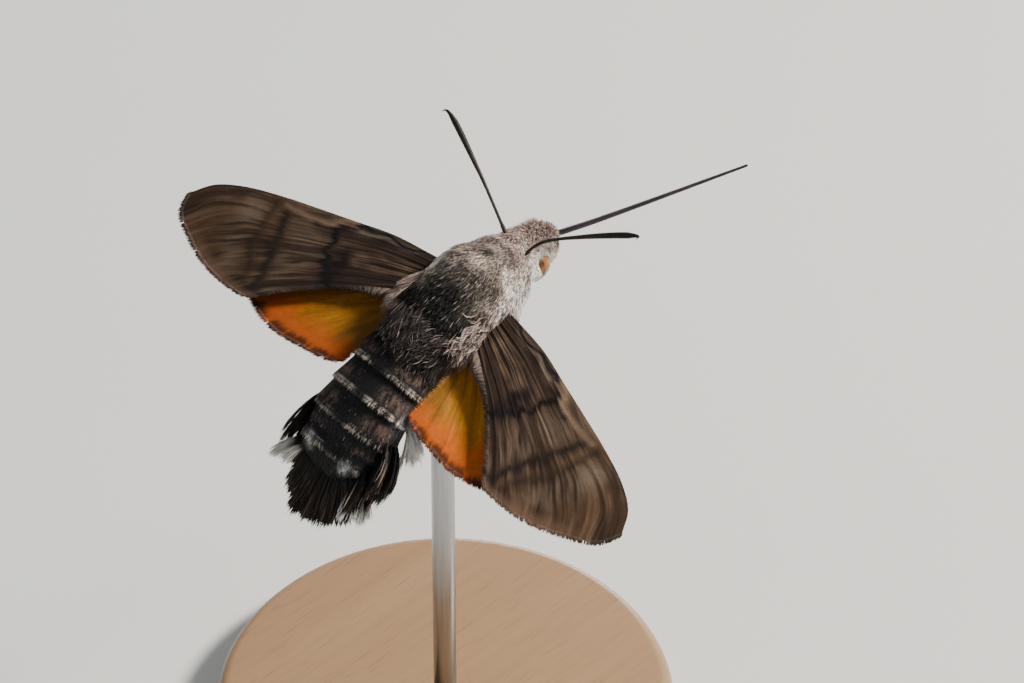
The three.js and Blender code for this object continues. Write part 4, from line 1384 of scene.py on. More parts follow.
@dataclass
class Head:
    """Eyes, palps, feelers and tongue."""

    body: Body
    palp_root: tuple = (0.65, -6.3, -1.2)
    palp_tip: tuple = (0.6, -7.75, 0.85)
    palp_half_width: float = 0.42
    palp_grid: tuple[int, int] = (40, 28)
    eye_grid: tuple[int, int] = (48, 72)
    dark_spot: tuple[float, float, float] = (0.70, 0.20, 0.68)
    feeler_places: dict = field(default_factory=lambda: {
        Side.LEFT: ((0.95, -3.95, 2.75), (5.65, -5.35, 5.2), (10.3, -6.6, 6.8)),
        Side.RIGHT: ((1.2, -3.6, 2.0), (1.95, -4.68, 3.34), (4.5, -6.3, 4.9), (8.6, -7.8, 7.1)),
    })
    feeler_hook: tuple = (0.1, 0.35, 0.05)
    feeler_radii: tuple[float, float] = (0.125, 0.25)
    feeler_joints: int = 58
    tongue_places: tuple = ((0, -8.2, 0.42), (0, -12.9, -1.2), (0, -30.5, -6.6))
    tongue_radius: float = 0.25
    tongue_colour: Colour = (0.010, 0.004, 0.009)
    amber: Colour = (0.27, 0.100, 0.020)
    dark_amber: Colour = (0.022, 0.010, 0.007)
    feeler_dark: Colour = (0.008, 0.0045, 0.0035)
    feeler_pale: Colour = (0.055, 0.036, 0.027)
    cream: Colour = (0.70, 0.66, 0.58)

    def eye(self, side: Side) -> Piece:
        """One eye: a ball, amber below and in front, dark above and behind, with two dark streaks."""
        rows, columns = self.eye_grid
        polar = np.linspace(0.02, np.pi - 0.02, rows)
        way = ball_ways(*np.meshgrid(polar, full_turn(columns), indexing="ij"), side)
        points = ringed(side.mirror(self.body.eye_centre) + way * self.body.eye_radius)
        ways = ringed(way)
        spot = np.linalg.norm(ways - side.mirror(self.dark_spot), axis=1)
        dark = 0.9 * hump(spot, 0, 0.3) + 0.8 * rise_between(0.8 * ways[:, 1] - ways[:, 2], -0.1, 0.5)
        streaks = hump(ways[:, 1], 0.30, 0.04) * 0.35 + hump(ways[:, 1], 0.06, 0.045) * 0.6
        mottle = 0.22 * noise(ways * [1, 1, 0.35], 0.22, 51)
        shades = blend(np.broadcast_to(self.amber, points.shape), self.dark_amber,
                       np.clip(dark + streaks + mottle, 0, 1))
        return Piece(f"eye_ball_{side.word}", "eye", points, ring_faces(rows, columns), shades)

    def eye_rim(self, side: Side) -> Piece:
        """Short pale scales round the eye, which lie outwards from it over the skin."""
        random = np.random.default_rng(53)
        count = 1200
        turn = random.uniform(0, 2 * np.pi, count)
        polar = np.radians(random.uniform(46, 64, count) + 8 * np.sin(turn))
        way = ball_ways(polar, turn, side)
        root = side.mirror(self.body.eye_centre) + way * (self.body.eye_radius - self.body.root_depth)
        away = unit(way * [0, 1, 1])
        start = unit(away + way * 0.15 + [0, 0.4, 0] + random.normal(0, 0.12, (count, 3)))
        end = unit(away - way * 0.3 + [0, 0.8, 0] + random.normal(0, 0.12, (count, 3)))
        above = rise_between(np.sin(turn) - 0.4 * np.cos(turn), 0.1, 0.9)
        colour = blend((0.34, 0.27, 0.23), self.cream, above)
        shade = random.uniform(0.5, 1.2, (count, 1))
        at = np.full(count, 3.0)
        bake = self.body.form.unwrap(at, np.where(side is Side.LEFT, 0.0, np.pi) + 0.4 * np.sin(turn))
        return Hairs(root, start, end, way, np.full(count, 0.34) * random.uniform(0.7, 1.3, count),
                     np.full(count, 0.06), colour * 0.6 * shade, colour * 1.2 * shade, bake,
                     ).piece(f"eye_rim_{side.word}", "white_scales")

    def palp(self, side: Side) -> Piece:
        """One palp: a spindle that curves up before the face."""
        root, tip = np.array(self.palp_root), np.array(self.palp_tip)
        bend = (root + tip) / 2 + [0.05, -0.35, -0.35]
        mirror = np.array([side.value, 1, 1])
        curve = SmoothCurve([root * mirror, bend * mirror, tip * mirror])

        def radius(share: Array) -> Array:
            """Thickest halfway."""
            return self.palp_half_width * (0.3 + 0.7 * np.sin(np.pi * (0.12 + 0.76 * share)))

        rings = tube_rings(curve, radius, 40, 28, (1, 0, 0), 1.2)
        points = ringed(rings)
        shades = self.palp_shade(points)
        return Piece(f"palp_skin_{side.word}", "white_scales", points, ring_faces(40, 28), shades * 0.8)

    def palp_shade(self, points: Array) -> Array:
        """Cream at the sides and below, grey-brown in front and above."""
        above = rise_between(points[:, 2] - points[:, 1] * 0.3, 1.7, 2.7)
        shades = blend(self.cream, (0.13, 0.095, 0.085), above)
        return blend(shades, (0.035, 0.018, 0.028), rise_between(-points[:, 1], 8.0, 8.5))

    def palp_coat(self, side: Side) -> Piece:
        """Short scales that lie along a palp towards its tip."""
        random = np.random.default_rng(57)
        rows, columns = self.palp_grid
        skin = self.palp(side).points[:-2].reshape(rows, columns, 3)
        count = 1100
        row = random.integers(1, rows - 3, count)
        column = random.integers(0, columns, count)
        root, ahead, out = on_rings(skin, row, column)
        lift = np.radians(random.uniform(14, 34, count))
        start = unit(raised(ahead, out, lift) + random.normal(0, 0.1, (count, 3)))
        end = unit(start + ahead * 0.5)
        colour = self.palp_shade(root) * random.uniform(0.7, 1.2, (count, 1))
        bake = np.stack([0.3 + 0.4 * column / columns, 0.02 + 0.05 * row / rows], -1)
        return Hairs(root - out * 0.03, start, end, out, random.uniform(0.22, 0.42, count),
                     np.full(count, 0.07), colour * 0.6, colour * 1.2, bake,
                     ).piece(f"palp_scales_{side.word}", "white_scales")

    def feeler(self, side: Side) -> Piece:
        """One feeler: a ringed shaft that thickens to a long club and ends in a fine hook."""
        places = np.array(self.feeler_places[side])
        curve = SmoothCurve(side.mirror([*places, places[-1] + self.feeler_hook]))
        rows, columns = 340, 20
        thin, thick = self.feeler_radii

        def radius(share: Array) -> Array:
            """Thin at the base, thickest at four fifths, then out to a point, with a ring at each joint."""
            club = thin + (thick - thin) * rise_between(share, 0.25, 0.82)
            taper = np.clip((1 - share) / 0.14, 0.06, 1) ** 0.7
            base = 0.05 * hump(share, 0.03, 0.03)
            joint = 1 - 0.10 * np.abs(np.sin(np.pi * share * self.feeler_joints)) ** 6
            return (club * taper + base) * joint

        points = ringed(tube_rings(curve, radius, rows, columns, (0, 1, 0.3)))
        share = ring_shares(rows, columns)
        ring = np.abs(np.sin(np.pi * share * self.feeler_joints)) > 0.8
        pale = np.where(ring, 0.75, 0.12) * rise_between(-share, -0.95, -0.5)
        shades = blend(np.broadcast_to(self.feeler_dark, points.shape), self.feeler_pale, pale)
        return Piece(f"feeler_{side.word}", "feeler", points, ring_faces(rows, columns), shades)

    def tongue(self) -> Piece:
        """The long tongue: two half tubes side by side, finely ringed, tapering to its tip."""
        curve = SmoothCurve(self.tongue_places)
        rows, columns = 360, 24

        def radius(share: Array) -> Array:
            """An even taper with fine rings."""
            ring = 1 - 0.035 * np.abs(np.sin(np.pi * share * 110))
            return self.tongue_radius * (1 - 0.55 * share) * ring

        rings = tube_rings(curve, radius, rows, columns, (1, 0, 0))
        centre = rings.mean(1, keepdims=True)
        turn = np.linspace(0, 2 * np.pi, columns, endpoint=False)
        groove = 1 - 0.18 * np.maximum(hump(np.cos(turn), 0, 0.2), 0)[None, :, None]
        rings = centre + (rings - centre) * groove
        points = ringed(rings)
        shades = np.broadcast_to(self.tongue_colour, points.shape) * (
            1 + 0.25 * noise(points, 2.0, 61)[:, None])
        return Piece("tongue_tube", "tongue", points, ring_faces(rows, columns), shades)

    def build(self) -> None:
        """Builds the pieces of the head, each in place of its solid."""
        eye, horn = EyeFinish().material(), HornFinish("tongue_horn", 0.35, 0.12).material()
        feeler = HornFinish("feeler_scales", 0.5).material()
        scales = ScaleFinish("face_scales", 0.55, 0.08, 0.25).material()
        for side in Side:
            self.eye(side).build(eye, f"eye_{side.word}")
            self.eye_rim(side).build(scales)
            self.palp(side).build(scales, f"palp_{side.word}")
            self.palp_coat(side).build(scales)
            self.feeler(side).build(feeler, f"antenna_{side.word}")
        self.tongue().build(horn, "proboscis")


@dataclass
class Wing:
    """A wing between its four edges in its own plane: x outward from the root and y to the rear."""

    name: str
    side: Side
    front: tuple
    edge: tuple
    rear: tuple
    root: tuple
    veins: tuple[float, ...]
    drop: float = 0.0
    rows: int = 150
    columns: int = 130
    hinge: tuple[float, float, float] = (4.5, 0.0, 0.3)
    pitch: float = math.radians(16)
    half_thickness: float = 0.07
    vein_height: float = 0.06
    vein_width: float = 0.012
    droop: float = 0.5
    reach: float = 18.4
    hair: Colour = (0.20, 0.15, 0.12)
    # painted light and shade: a factor on all of the wing's colours, under 1 for painted shade on the left
    # wings, over 1 for painted light on the right
    tone: float = 1.0

    def plane(self, across: Array, out: Array) -> Array:
        """Places in the wing's plane: the sum of the two pairs of edges less their corners."""
        front, edge, rear = (SmoothCurve(line) for line in (self.front, self.edge, self.rear))
        root = np.array(self.root, float)
        low, high = blend(root[0], root[1], across), edge.share(across)
        corners = (blend(root[0], root[1], across) * (1 - out)[..., None]
                   + blend(edge.points[0], edge.points[-1], across) * out[..., None])
        return (blend(front.share(out), rear.share(out), across) + blend(low, high, out) - corners)

    def lifted(self, plane: Array, height: Array) -> Array:
        """Points in the moth's frame from places in the plane and heights over it.

        The wing droops by the square of the distance out, is turned by its pitch, and hangs on
        its hinge.
        """
        z = height - self.droop * (plane[..., 0] / self.reach) ** 2 - self.drop
        c, s = math.cos(self.pitch), math.sin(self.pitch)
        return np.stack([(plane[..., 0] + self.hinge[0]) * self.side.value,
                         plane[..., 1] * c + z * s + self.hinge[1],
                         -plane[..., 1] * s + z * c + self.hinge[2]], -1)

    def relief(self, across: Array, out: Array) -> Array:
        """How far the veins stand up: a bell across each, lower towards the margin, with soft waves."""
        height = sum(hump(across, vein, self.vein_width) for vein in self.veins)
        waves = 0.03 * noise(np.stack([across * 9, out * 3], -1), 1.0, 65)
        return self.vein_height * (1 - 0.6 * out) * height + waves

    def membrane(self) -> Piece:
        """The wing blade: two faces with the same grid, joined round their rim."""
        across, out = np.meshgrid(np.linspace(0, 1, self.columns), np.linspace(0, 1, self.rows))
        plane = self.plane(across, out)
        relief = self.relief(across, out)
        middle = np.minimum(np.minimum(across, 1 - across) * 12, (1 - out) * 12)
        rim = 0.2 + 0.8 * rise_between(middle, 0, 1)
        upper = self.lifted(plane, (self.half_thickness + relief) * rim)
        lower = self.lifted(plane, -self.half_thickness * rim)
        points = np.vstack([upper.reshape(-1, 3), lower.reshape(-1, 3)])
        shades = np.vstack([self.upper_shade(plane, across, out).reshape(-1, 3),
                            self.lower_shade(plane, across, out).reshape(-1, 3)])
        # the colours carry the painted light or painted shade of the wing's side
        return Piece(f"{self.name}_blade_{self.side.word}", self.name, points, self.sheet_faces(),
                     shades * self.tone)

    def sheet_faces(self) -> list[Array]:
        """Quads of both faces and of the rim between them."""
        index = np.arange(self.rows * self.columns).reshape(self.rows, self.columns)
        a, b = index[:-1, :-1].ravel(), index[:-1, 1:].ravel()
        c, d = index[1:, 1:].ravel(), index[1:, :-1].ravel()
        top = np.stack([a, b, c, d], 1)
        size = self.rows * self.columns
        bottom = top[:, ::-1] + size
        rim = np.concatenate([index[0], index[1:, -1], index[-1, -2::-1], index[-2:0:-1, 0]])
        after = np.roll(rim, -1)
        wall = np.stack([rim, rim + size, after + size, after], 1)
        return [top, bottom, wall]

    def upper_shade(self, plane: Array, across: Array, out: Array) -> Array:
        """The colours of the upper face."""
        raise NotImplementedError

    def lower_shade(self, plane: Array, across: Array, out: Array) -> Array:
        """The colours of the lower face."""
        raise NotImplementedError

    def streaks(self, across: Array, out: Array, seed: int) -> Array:
        """Noise drawn out along the veins, from about -1 to 1."""
        bend = 0.02 * noise(np.stack([across * 5, out * 5], -1), 1.0, seed + 2)
        fine = noise(np.stack([(across + bend) * 55, out * 5], -1), 1.0, seed)
        broad = noise(np.stack([(across + bend) * 14, out * 4], -1), 1.0, seed + 1)
        return 0.55 * fine + 0.6 * broad

    def fringe(self) -> Piece:
        """Short scales along the outer margin and the rear margin, as an edge of fine hairs."""
        random = np.random.default_rng(71)
        count = 1300
        share = random.uniform(0, 1, count)
        on_edge = random.uniform(size=count) < 0.55
        across = np.where(on_edge, share, 1.0)
        out = np.where(on_edge, 1.0, share)
        root = self.plane(across, out)
        inner = self.plane(np.where(on_edge, across, 0.94), np.where(on_edge, 0.95, out))
        away = unit(root - inner)
        near_root = np.where(on_edge, 0, rise_between(-out, -0.5, -0.1))
        length = random.uniform(0.3, 0.55, count) * (1 + 1.6 * near_root)
        base = self.lifted(root - away * 0.12, random.normal(0, 0.01, count))
        far = self.lifted(root + away + np.stack([near_root, near_root * 0], -1), np.zeros(count))
        start = unit(far - base + random.normal(0, 0.08, (count, 3)))
        up = self.lifted(root, np.ones(count)) - self.lifted(root, np.zeros(count))
        shade = self.upper_shade(inner, np.clip(across, 0, 0.97), np.minimum(out, 0.985))
        shade = blend(shade, self.hair, near_root * 0.7)
        # the fringe carries the same painted light or painted shade as its wing
        vary = self.tone * random.uniform(0.5, 1.3, (count, 1))
        bake = np.stack([0.1 + 0.8 * across, 0.1 + 0.8 * out], -1)
        return Hairs(base, start, start, unit(up), length, np.full(count, 0.08), shade * vary,
                     shade * 1.4 * vary, bake, stations=(0.0, 0.6), fullness=(1.0, 0.8),
                     ).piece(f"{self.name}_fringe_{self.side.word}", self.name)

    def build(self, finish: bpy.types.Material, hair: bpy.types.Material) -> None:
        """Builds the blade in place of its solid, and its fringe."""
        self.membrane().build(finish, f"{self.name}_{self.side.word}")
        self.fringe().build(hair)


@dataclass
class Forewing(Wing):
    """A forewing: grey-brown, with black cross lines and pale streaks."""

    ground: Colour = (0.040, 0.023, 0.0145)
    outer: Colour = (0.054, 0.029, 0.014)
    dark: Colour = (0.013, 0.008, 0.006)
    black: Colour = (0.005, 0.0038, 0.0035)
    buff: Colour = (0.17, 0.108, 0.070)
    grey: Colour = (0.125, 0.092, 0.066)
    under: Colour = (0.17, 0.07, 0.022)
    inner_line: tuple = ((5.8, 1.6), (6.9, 3.0), (6.3, 4.4), (5.6, 5.6), (4.1, 7.1))
    costal_line: tuple = ((5.8, 1.6), (2.0, 0.8), (-0.5, 0.2))
    outer_line: tuple = ((11.3, 4.0), (10.9, 5.2), (10.3, 6.3), (9.6, 7.6), (8.8, 9.2), (8.2, 10.4))
    second_line: tuple = ((12.4, 4.4), (12.2, 5.8), (11.4, 7.2), (10.6, 8.8), (9.6, 10.6))
    costal_buff: tuple = ((11.6, 3.9), (8.8, 2.9), (6.5, 2.1))
    spot: tuple[float, float] = (8.6, 3.6)
    basal_streak: tuple = ((0.5, 2.6), (3.3, 3.8), (4.2, 4.2))
    front_streak: tuple = ((1.0, 0.6), (3.4, 1.25), (5.2, 2.2))
    pale_band: tuple = ((13.9, 5.4), (13.2, 7.0), (12.0, 9.2))
    apex_streak: tuple = ((14.2, 4.4), (15.8, 5.6))
    basal_patch: tuple = ((4.9, 4.6), (4.4, 6.4))
    margin_brown: Colour = (0.13, 0.075, 0.048)

    def upper_shade(self, plane: Array, across: Array, out: Array) -> Array:
        """The ground with streaks, then the pale and the black markings over it."""
        x = plane[..., 0]
        streak = self.streaks(across, out, 81)
        wobble = plane + 0.25 * np.stack([streak, noise(plane, 1.6, 83)], -1)
        flecks = np.clip(0.6 + 0.7 * streak, 0, 1)
        median = hump(x + plane[..., 1] * 0.25, 9.6, 1.7)
        apex = rise_between(x - 0.35 * np.abs(plane[..., 1] - 6.2), 14.8, 17.2)
        outer = np.maximum(near_path(wobble, self.outer_line, 0.42),
                           0.6 * near_path(wobble, self.second_line, 0.3))
        inner = np.maximum(near_path(wobble, self.inner_line, 0.3),
                           near_path(wobble, self.costal_line, 0.24))
        margin = rise_between(out, 0.94, 0.99) * rise_between(across, 0.15, 0.6)
        return painted(self.ground, (
            (self.outer, rise_between(x, 8.0, 14.0)),
            (self.buff, np.clip(0.35 * streak - 0.06, 0, 0.5)),
            (self.dark, np.clip(-0.7 * streak, 0, 0.65)),
            (self.dark, 0.5 * rise_between(-x, -6.2, -4.2)),
            (self.buff, 0.8 * near_path(wobble, self.basal_streak, 0.5) * flecks),
            (self.grey, 0.85 * near_path(wobble, self.front_streak, 0.35)),
            (self.grey, 0.4 * median * np.clip(0.3 + streak, 0, 1)),
            (self.grey, 0.75 * near_path(wobble, self.pale_band, 1.0) * flecks),
            (self.dark, 0.45 * apex),
            (self.dark, 0.7 * near_path(wobble, self.apex_streak, 0.45)),
            (self.black, 0.85 * near_path(wobble, self.basal_patch, 0.7)),
            (self.dark, 0.95 * outer),
            (self.black, np.clip(1.15 * inner, 0, 1)),
            (self.black, hump(np.linalg.norm(plane - self.spot, axis=-1), 0, 0.3)),
            (self.buff, 0.75 * near_path(wobble, self.costal_buff, 0.3)),
            (self.margin_brown, 0.6 * margin),
        ))

    def lower_shade(self, plane: Array, across: Array, out: Array) -> Array:
        """Rusty brown below, darker to the margin and pale yellow at the root."""
        streak = self.streaks(across, out, 85)
        shades = np.array(self.under) * (1 + 0.25 * streak[..., None])
        shades = blend(shades, (0.055, 0.03, 0.018), rise_between(out, 0.78, 0.98))
        return blend(shades, (0.32, 0.21, 0.08), 0.7 * rise_between(-out, -0.3, -0.05))


@dataclass
class Hindwing(Wing):
    """A hindwing: gold, with a rust and dark brown margin."""

    gold: Colour = (0.31, 0.12, 0.007)
    bright: Colour = (0.47, 0.21, 0.016)
    rust: Colour = (0.42, 0.082, 0.008)
    border: Colour = (0.070, 0.022, 0.009)
    ochre: Colour = (0.15, 0.068, 0.014)
    ray: Colour = (0.11, 0.042, 0.010)
    root_brown: Colour = (0.14, 0.07, 0.02)

    def upper_shade(self, plane: Array, across: Array, out: Array) -> Array:
        """Gold with bright and dull rays, rust before the margin, and a narrow dark border."""
        streak = self.streaks(across, out, 91)
        rays = sum(hump(across, vein, 0.035) for vein in self.veins) * rise_between(across, 0.3, 0.6)
        shift = 0.05 * streak
        return painted(self.gold, (
            (self.bright, np.clip(0.5 * streak + 0.1, 0, 1)),
            (self.ray, 0.45 * np.clip(rays, 0, 1)),
            (self.ochre, 0.75 * rise_between(across, 0.62, 0.98)),
            (self.root_brown, 0.7 * rise_between(-out, -0.42, -0.1)),
            (self.rust, 0.95 * rise_between(out + shift, 0.64, 0.92)),
            (self.border, 0.95 * rise_between(out + shift * 0.5, 0.93, 0.985)),
        ))

    def lower_shade(self, plane: Array, across: Array, out: Array) -> Array:
        """Yellow at the root below, then gold, with a rust margin."""
        streak = self.streaks(across, out, 95)
        shades = blend((0.42, 0.29, 0.09), (0.34, 0.12, 0.015),
                       rise_between(out, 0.25, 0.7))
        shades = shades * (1 + 0.2 * streak[..., None])
        return blend(shades, (0.12, 0.035, 0.011), rise_between(out, 0.84, 0.97))


@dataclass
class Wings:
    """Both pairs of wings."""

    def forewing(self, side: Side) -> Forewing:
        """A forewing with outline and veins as in the solids, painted shade on the left, painted light on
        the right.
        """
        tone = 0.74 if side is Side.LEFT else 1.08
        return Forewing(
            "forewing", side,
            front=((-2.6, -0.4), (0, 0), (3.4, 0.6), (6.5, 1.6), (9.6, 2.6), (12.6, 3.6), (15.5, 4.8),
                   (17.4, 6.1), (18.4, 7.8)),
            edge=((18.4, 7.8), (17.6, 9.4), (15.4, 10.6), (12.8, 11.5), (10.4, 11.8), (8.2, 11.7)),
            rear=((-2.2, 2.6), (0.8, 4.7), (2.7, 6.0), (4.8, 7.8), (6.4, 9.5), (8.2, 11.7)),
            root=((-2.6, -0.4), (-2.2, 2.6)),
            veins=(0.03, 0.14, 0.27, 0.4, 0.53, 0.66, 0.79, 0.92), tone=tone,
        )

    def hindwing(self, side: Side) -> Hindwing:
        """A hindwing with outline and veins as in the solids, painted shade on the left, painted light on
        the right.
        """
        tone = 0.76 if side is Side.LEFT else 1.3
        return Hindwing(
            "hindwing", side,
            front=((-2.4, 1.6), (2.0, 2.6), (6.0, 4.6), (9.2, 6.6), (10.8, 8.4)),
            edge=((10.8, 8.4), (10.2, 10.0), (8.4, 11.0), (6.6, 11.6), (4.6, 11.8), (2.4, 11.5),
                  (0.4, 11.1), (-0.7, 10.7)),
            rear=((-2.0, 4.4), (-1.1, 6.4), (-0.9, 8.6), (-0.7, 10.7)),
            root=((-2.4, 1.6), (-2.0, 4.4)),
            veins=(0.05, 0.2, 0.36, 0.52, 0.68, 0.84), drop=1.2, rows=100, columns=100, tone=tone,
        )

    def build(self) -> None:
        """Builds the four wings."""
        finish, hair = WingFinish("wing_scales").material(), ScaleFinish("wing_fringe").material()
        for side in Side:
            self.forewing(side).build(finish, hair)
            self.hindwing(side).build(finish, hair)


@dataclass
class Legs:
    """Six thin legs, folded under the thorax and along the abdomen."""

    places: dict = field(default_factory=lambda: {
        "front": ((1.4, -2.1, -2.2), (1.6, -3.1, -3.3), (1.4, -1.8, -4.5), (1.3, 0.9, -5.1)),
        "middle": ((2.0, -0.4, -2.6), (2.8, -1.0, -4.4), (2.5, 1.8, -5.8), (2.3, 4.6, -7.0)),
        "hind": ((2.3, 2.0, -3.0), (3.2, 2.8, -4.7), (3.0, 6.2, -7.2), (2.6, 10.0, -10.4)),
    })
    thick: float = 0.34
    thin: float = 0.14
    rows: int = 140
    columns: int = 16
    pale: Colour = (0.36, 0.30, 0.24)
    dark: Colour = (0.12, 0.085, 0.065)
    finish: ScaleFinish = ScaleFinish("leg_scales", 0.55, 0.05, 0.35, 4200.0, 0.00005)

    def rings(self, leg: str, side: Side) -> Array:
        """Rings of one leg: thick to the knee, then thinner, with a ring at each joint of the foot."""
        curve = SmoothCurve(side.mirror(self.places[leg]))

        def radius(share: Array) -> Array:
            """The thigh and shin as two long swellings, then the joints of the foot."""
            thigh = hump(share, 0.15, 0.16) + 0.85 * hump(share, 0.5, 0.14)
            foot = 0.35 * np.abs(np.sin(np.pi * (share - 0.62) * 13)) * rise_between(share, 0.62, 0.66)
            tip = np.clip((1 - share) / 0.03, 0.3, 1)
            return (self.thin + (self.thick - self.thin) * thigh + self.thin * foot * 0.5) * tip

        return tube_rings(curve, radius, self.rows, self.columns, (1, 0.2, 0))

    def skin(self, leg: str, side: Side) -> Piece:
        """One leg, ringed pale and dark towards the foot."""
        points = ringed(self.rings(leg, side))
        share = ring_shares(self.rows, self.columns)
        ring = rise_between(np.sin(np.pi * share * 13), 0.2, 0.8) * rise_between(share, 0.5, 0.65)
        shades = blend(np.broadcast_to(self.pale, points.shape), self.dark, ring)
        name = f"leg_{leg}_{side.word}"
        return Piece(f"{name}_skin", "leg", points, ring_faces(self.rows, self.columns), shades)

    def scales(self, leg: str, side: Side) -> Piece:
        """Short scales along one leg, with a few long spurs at the shin."""
        random = np.random.default_rng(101)
        rings = self.rings(leg, side)
        count = 700
        row = random.integers(1, self.rows - 4, count)
        column = random.integers(0, self.columns, count)
        root, ahead, out = on_rings(rings, row, column)
        spur = random.uniform(size=count) < 0.01
        lift = np.radians(np.where(spur, 35, random.uniform(10, 30, count)))
        start = unit(raised(ahead, out, lift))
        length = np.where(spur, 1.0, random.uniform(0.25, 0.45, count))
        shade = random.uniform(0.6, 1.25, (count, 1)) * np.array(self.pale)
        bake = np.stack([0.1 + 0.8 * column / self.columns, 0.1 + 0.8 * row / self.rows], -1)
        return Hairs(root - out * 0.03, start, unit(start + ahead), out, length, np.full(count, 0.08),
                     shade * 0.7, shade * 1.2, bake, stations=(0.0, 0.5), fullness=(1.0, 0.9),
                     ).piece(f"leg_{leg}_{side.word}_scales", "leg")

    def build(self) -> None:
        """Builds the six legs, each in place of its solid."""
        material = self.finish.material()
        for leg in self.places:
            for side in Side:
                self.skin(leg, side).build(material, f"leg_{leg}_{side.word}")
                self.scales(leg, side).build(material)


@dataclass
class Stand:
    """The wooden disc and the steel rod of the display stand, in the frame of the solids."""

    radius: float = 18.0
    height: float = 4.0
    rounding: float = 1.0
    rod_radius: float = 0.9
    gap: float = 0.3

    def turned(self, name: str, slot: str, profile: Array, columns: int = 128) -> Piece:
        """A turned form: each point of the profile is carried round the upright axis.

        Args:
            name: the piece's name.
            slot: the record's slot for its finish.
            profile: radii and heights in millimetres.
            columns: points in each ring.

        Returns:
            The piece, in the moth's frame like the rest.
        """
        turn = full_turn(columns)
        ring = np.stack([np.cos(turn), np.sin(turn)], -1)
        rings = np.concatenate([profile[:, None, :1] * ring[None],
                                np.broadcast_to(profile[:, None, 1:], (len(profile), columns, 1))], -1)
        c, s = math.cos(POSE.bank), math.sin(POSE.bank)
        back = np.array([[c, 0, -s], [0, 1, 0], [s, 0, c]])
        points = (ringed(rings) - [0, -POSE.ahead, POSE.height]) @ back
        return Piece(name, slot, points, ring_faces(len(profile), columns))

    def build(self) -> None:
        """Builds the disc with rounded rims and the rod with a small chamfer at its foot."""
        turn = np.linspace(0, np.pi / 2, 9)
        inner = self.radius - self.rounding
        curve = np.stack([inner + self.rounding * np.sin(turn), self.rounding * (1 - np.cos(turn))], -1)
        upper = np.stack([curve[::-1, 0], self.height - curve[::-1, 1]], -1)
        disc = np.vstack([[0.5, 0], [inner, 0], curve[1:], upper, [0.5, self.height]])
        self.turned("stand_disc", "stand_wood", disc).build(WoodFinish().material(), "stand_base")
        low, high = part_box("stand_rod")
        top = high[2] / MM
        bottom = low[2] / MM
        rod = np.array([[self.rod_radius - 0.15, bottom], [self.rod_radius, bottom + 0.15],
                        [self.rod_radius, bottom + 12], [self.rod_radius, bottom + 24],
                        [self.rod_radius, top - 0.1], [self.rod_radius - 0.1, top]])
        self.turned("stand_post", "stand_steel", rod, 48).build(SteelFinish().material(), "stand_rod")


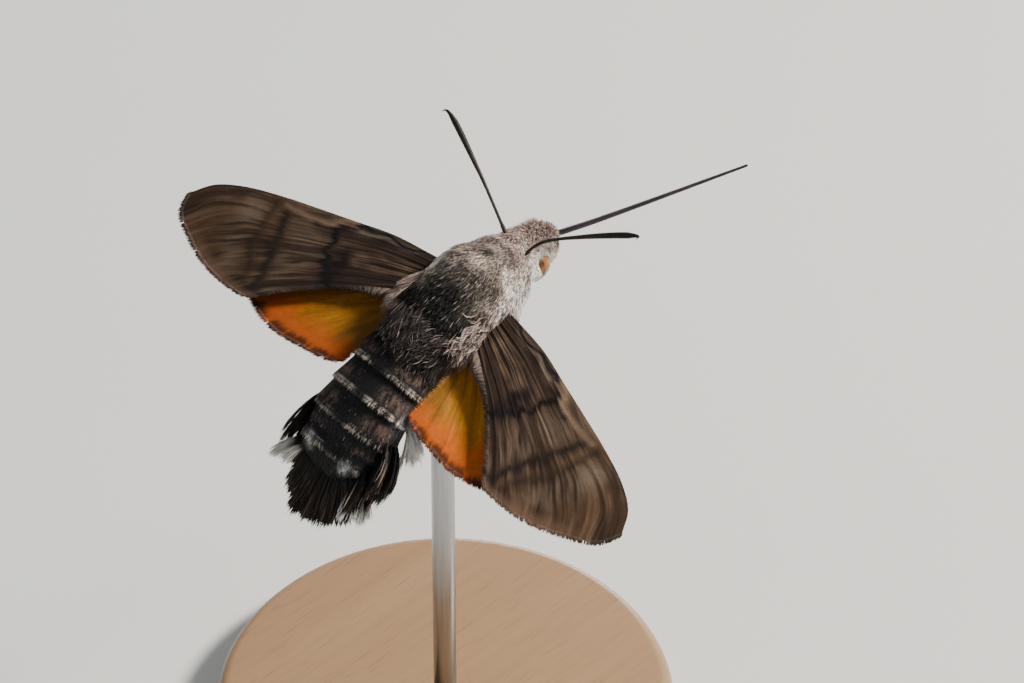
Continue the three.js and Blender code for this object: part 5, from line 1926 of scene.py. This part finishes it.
@dataclass
class Studio:
    """The camera, the lights and the floor."""

    back: tuple = (-0.525483, 0.525483, 0.669131)
    right: tuple = (-0.707107, -0.707107, 0.0)
    up: tuple = (0.473147, -0.473147, 0.743145)
    camera_place: tuple = (-0.2245, 0.2171, 0.3222)
    target: tuple = (0.0, -0.0034, 0.044)
    lens: float = 199.3
    sensor: float = 36.0
    key_watts: float = 15.0
    fill_watts: float = 1.2
    rim_watts: float = 2.0
    sky: Colour = (0.86, 0.92, 1.0)
    sky_strength: float = 0.26
    floor_size: float = 3.0

    def camera(self) -> None:
        """Sets the camera at the fitted place, its axes as fitted."""
        data = bpy.data.cameras.new("camera")
        data.lens = self.lens
        data.sensor_width = self.sensor
        made = in_scene("camera", data)
        axes = Matrix((self.right, self.up, self.back)).transposed().to_4x4()
        made.matrix_world = Matrix.Translation(self.camera_place) @ axes
        bpy.context.scene.camera = made

    def lamp(self, name: str, way: tuple[float, float, float], distance: float, size: float,
             watts: float, colour: Colour) -> None:
        """Hangs one square lamp that faces the moth.

        Args:
            name: the lamp's name.
            way: shares of the camera's right, up and back directions.
            distance: metres from the moth.
            size: the lamp's side in metres.
            watts: its power.
            colour: its colour.
        """
        axes = np.array([self.right, self.up, self.back])
        direction = unit(np.array(way) @ axes)
        data = bpy.data.lights.new(name, "AREA")
        data.size = size
        data.energy = watts
        data.color = colour
        beside = unit(np.cross([0, 0, 1], direction))
        above = np.cross(direction, beside)
        place = np.array(self.target) + direction * distance
        turn = Matrix((beside, above, direction)).transposed().to_4x4()
        in_scene(name, data).matrix_world = Matrix.Translation(place) @ turn

    def floor(self) -> None:
        """Lays the pale floor, a flat grid at the height of the stand's underside."""
        line = np.linspace(-self.floor_size / 2, self.floor_size / 2, 9)
        x, y = np.meshgrid(line, line)
        points = np.stack([x.ravel(), y.ravel(), np.zeros(x.size)], -1)
        index = np.arange(81).reshape(9, 9)
        quads = np.stack([index[:-1, :-1], index[:-1, 1:], index[1:, 1:], index[1:, :-1]], -1)
        mesh = bpy.data.meshes.new("floor")
        mesh.from_pydata(points.tolist(), [], quads.reshape(-1, 4).tolist())
        made = in_scene("floor", mesh)
        mesh.materials.append(FloorFinish().material())

    def sky_light(self) -> None:
        """Gives the room an even soft light."""
        world = bpy.data.worlds.new("studio")
        world.use_nodes = True
        background = world.node_tree.nodes["Background"]
        background.inputs["Color"].default_value = (*self.sky, 1)
        background.inputs["Strength"].default_value = self.sky_strength
        bpy.context.scene.world = world

    def build(self) -> None:
        """Builds the camera first, then the lamps, the sky and the floor."""
        self.camera()
        self.lamp("key", (0.85, 0.62, 0.42), 0.8, 0.16, self.key_watts, (1.0, 0.95, 0.88))
        self.lamp("fill", (-0.8, 0.1, 0.8), 0.9, 0.6, self.fill_watts, (0.88, 0.94, 1.0))
        self.lamp("rim", (0.2, 0.7, -0.7), 0.7, 0.3, self.rim_watts, (1.0, 0.98, 0.94))
        self.sky_light()
        self.floor()


def main() -> None:
    """Builds the studio, the moth and its stand in order."""
    logging.basicConfig(level=logging.INFO, format="%(name)s: %(message)s")
    Studio().build()
    body = Body()
    body.build()
    Tufts(body.form).build()
    TailFan(body.form).build()
    Head(body).build()
    Wings().build()
    Legs().build()
    Stand().build()
    bpy.context.view_layer.update()


if __name__ == "__main__":
    main()
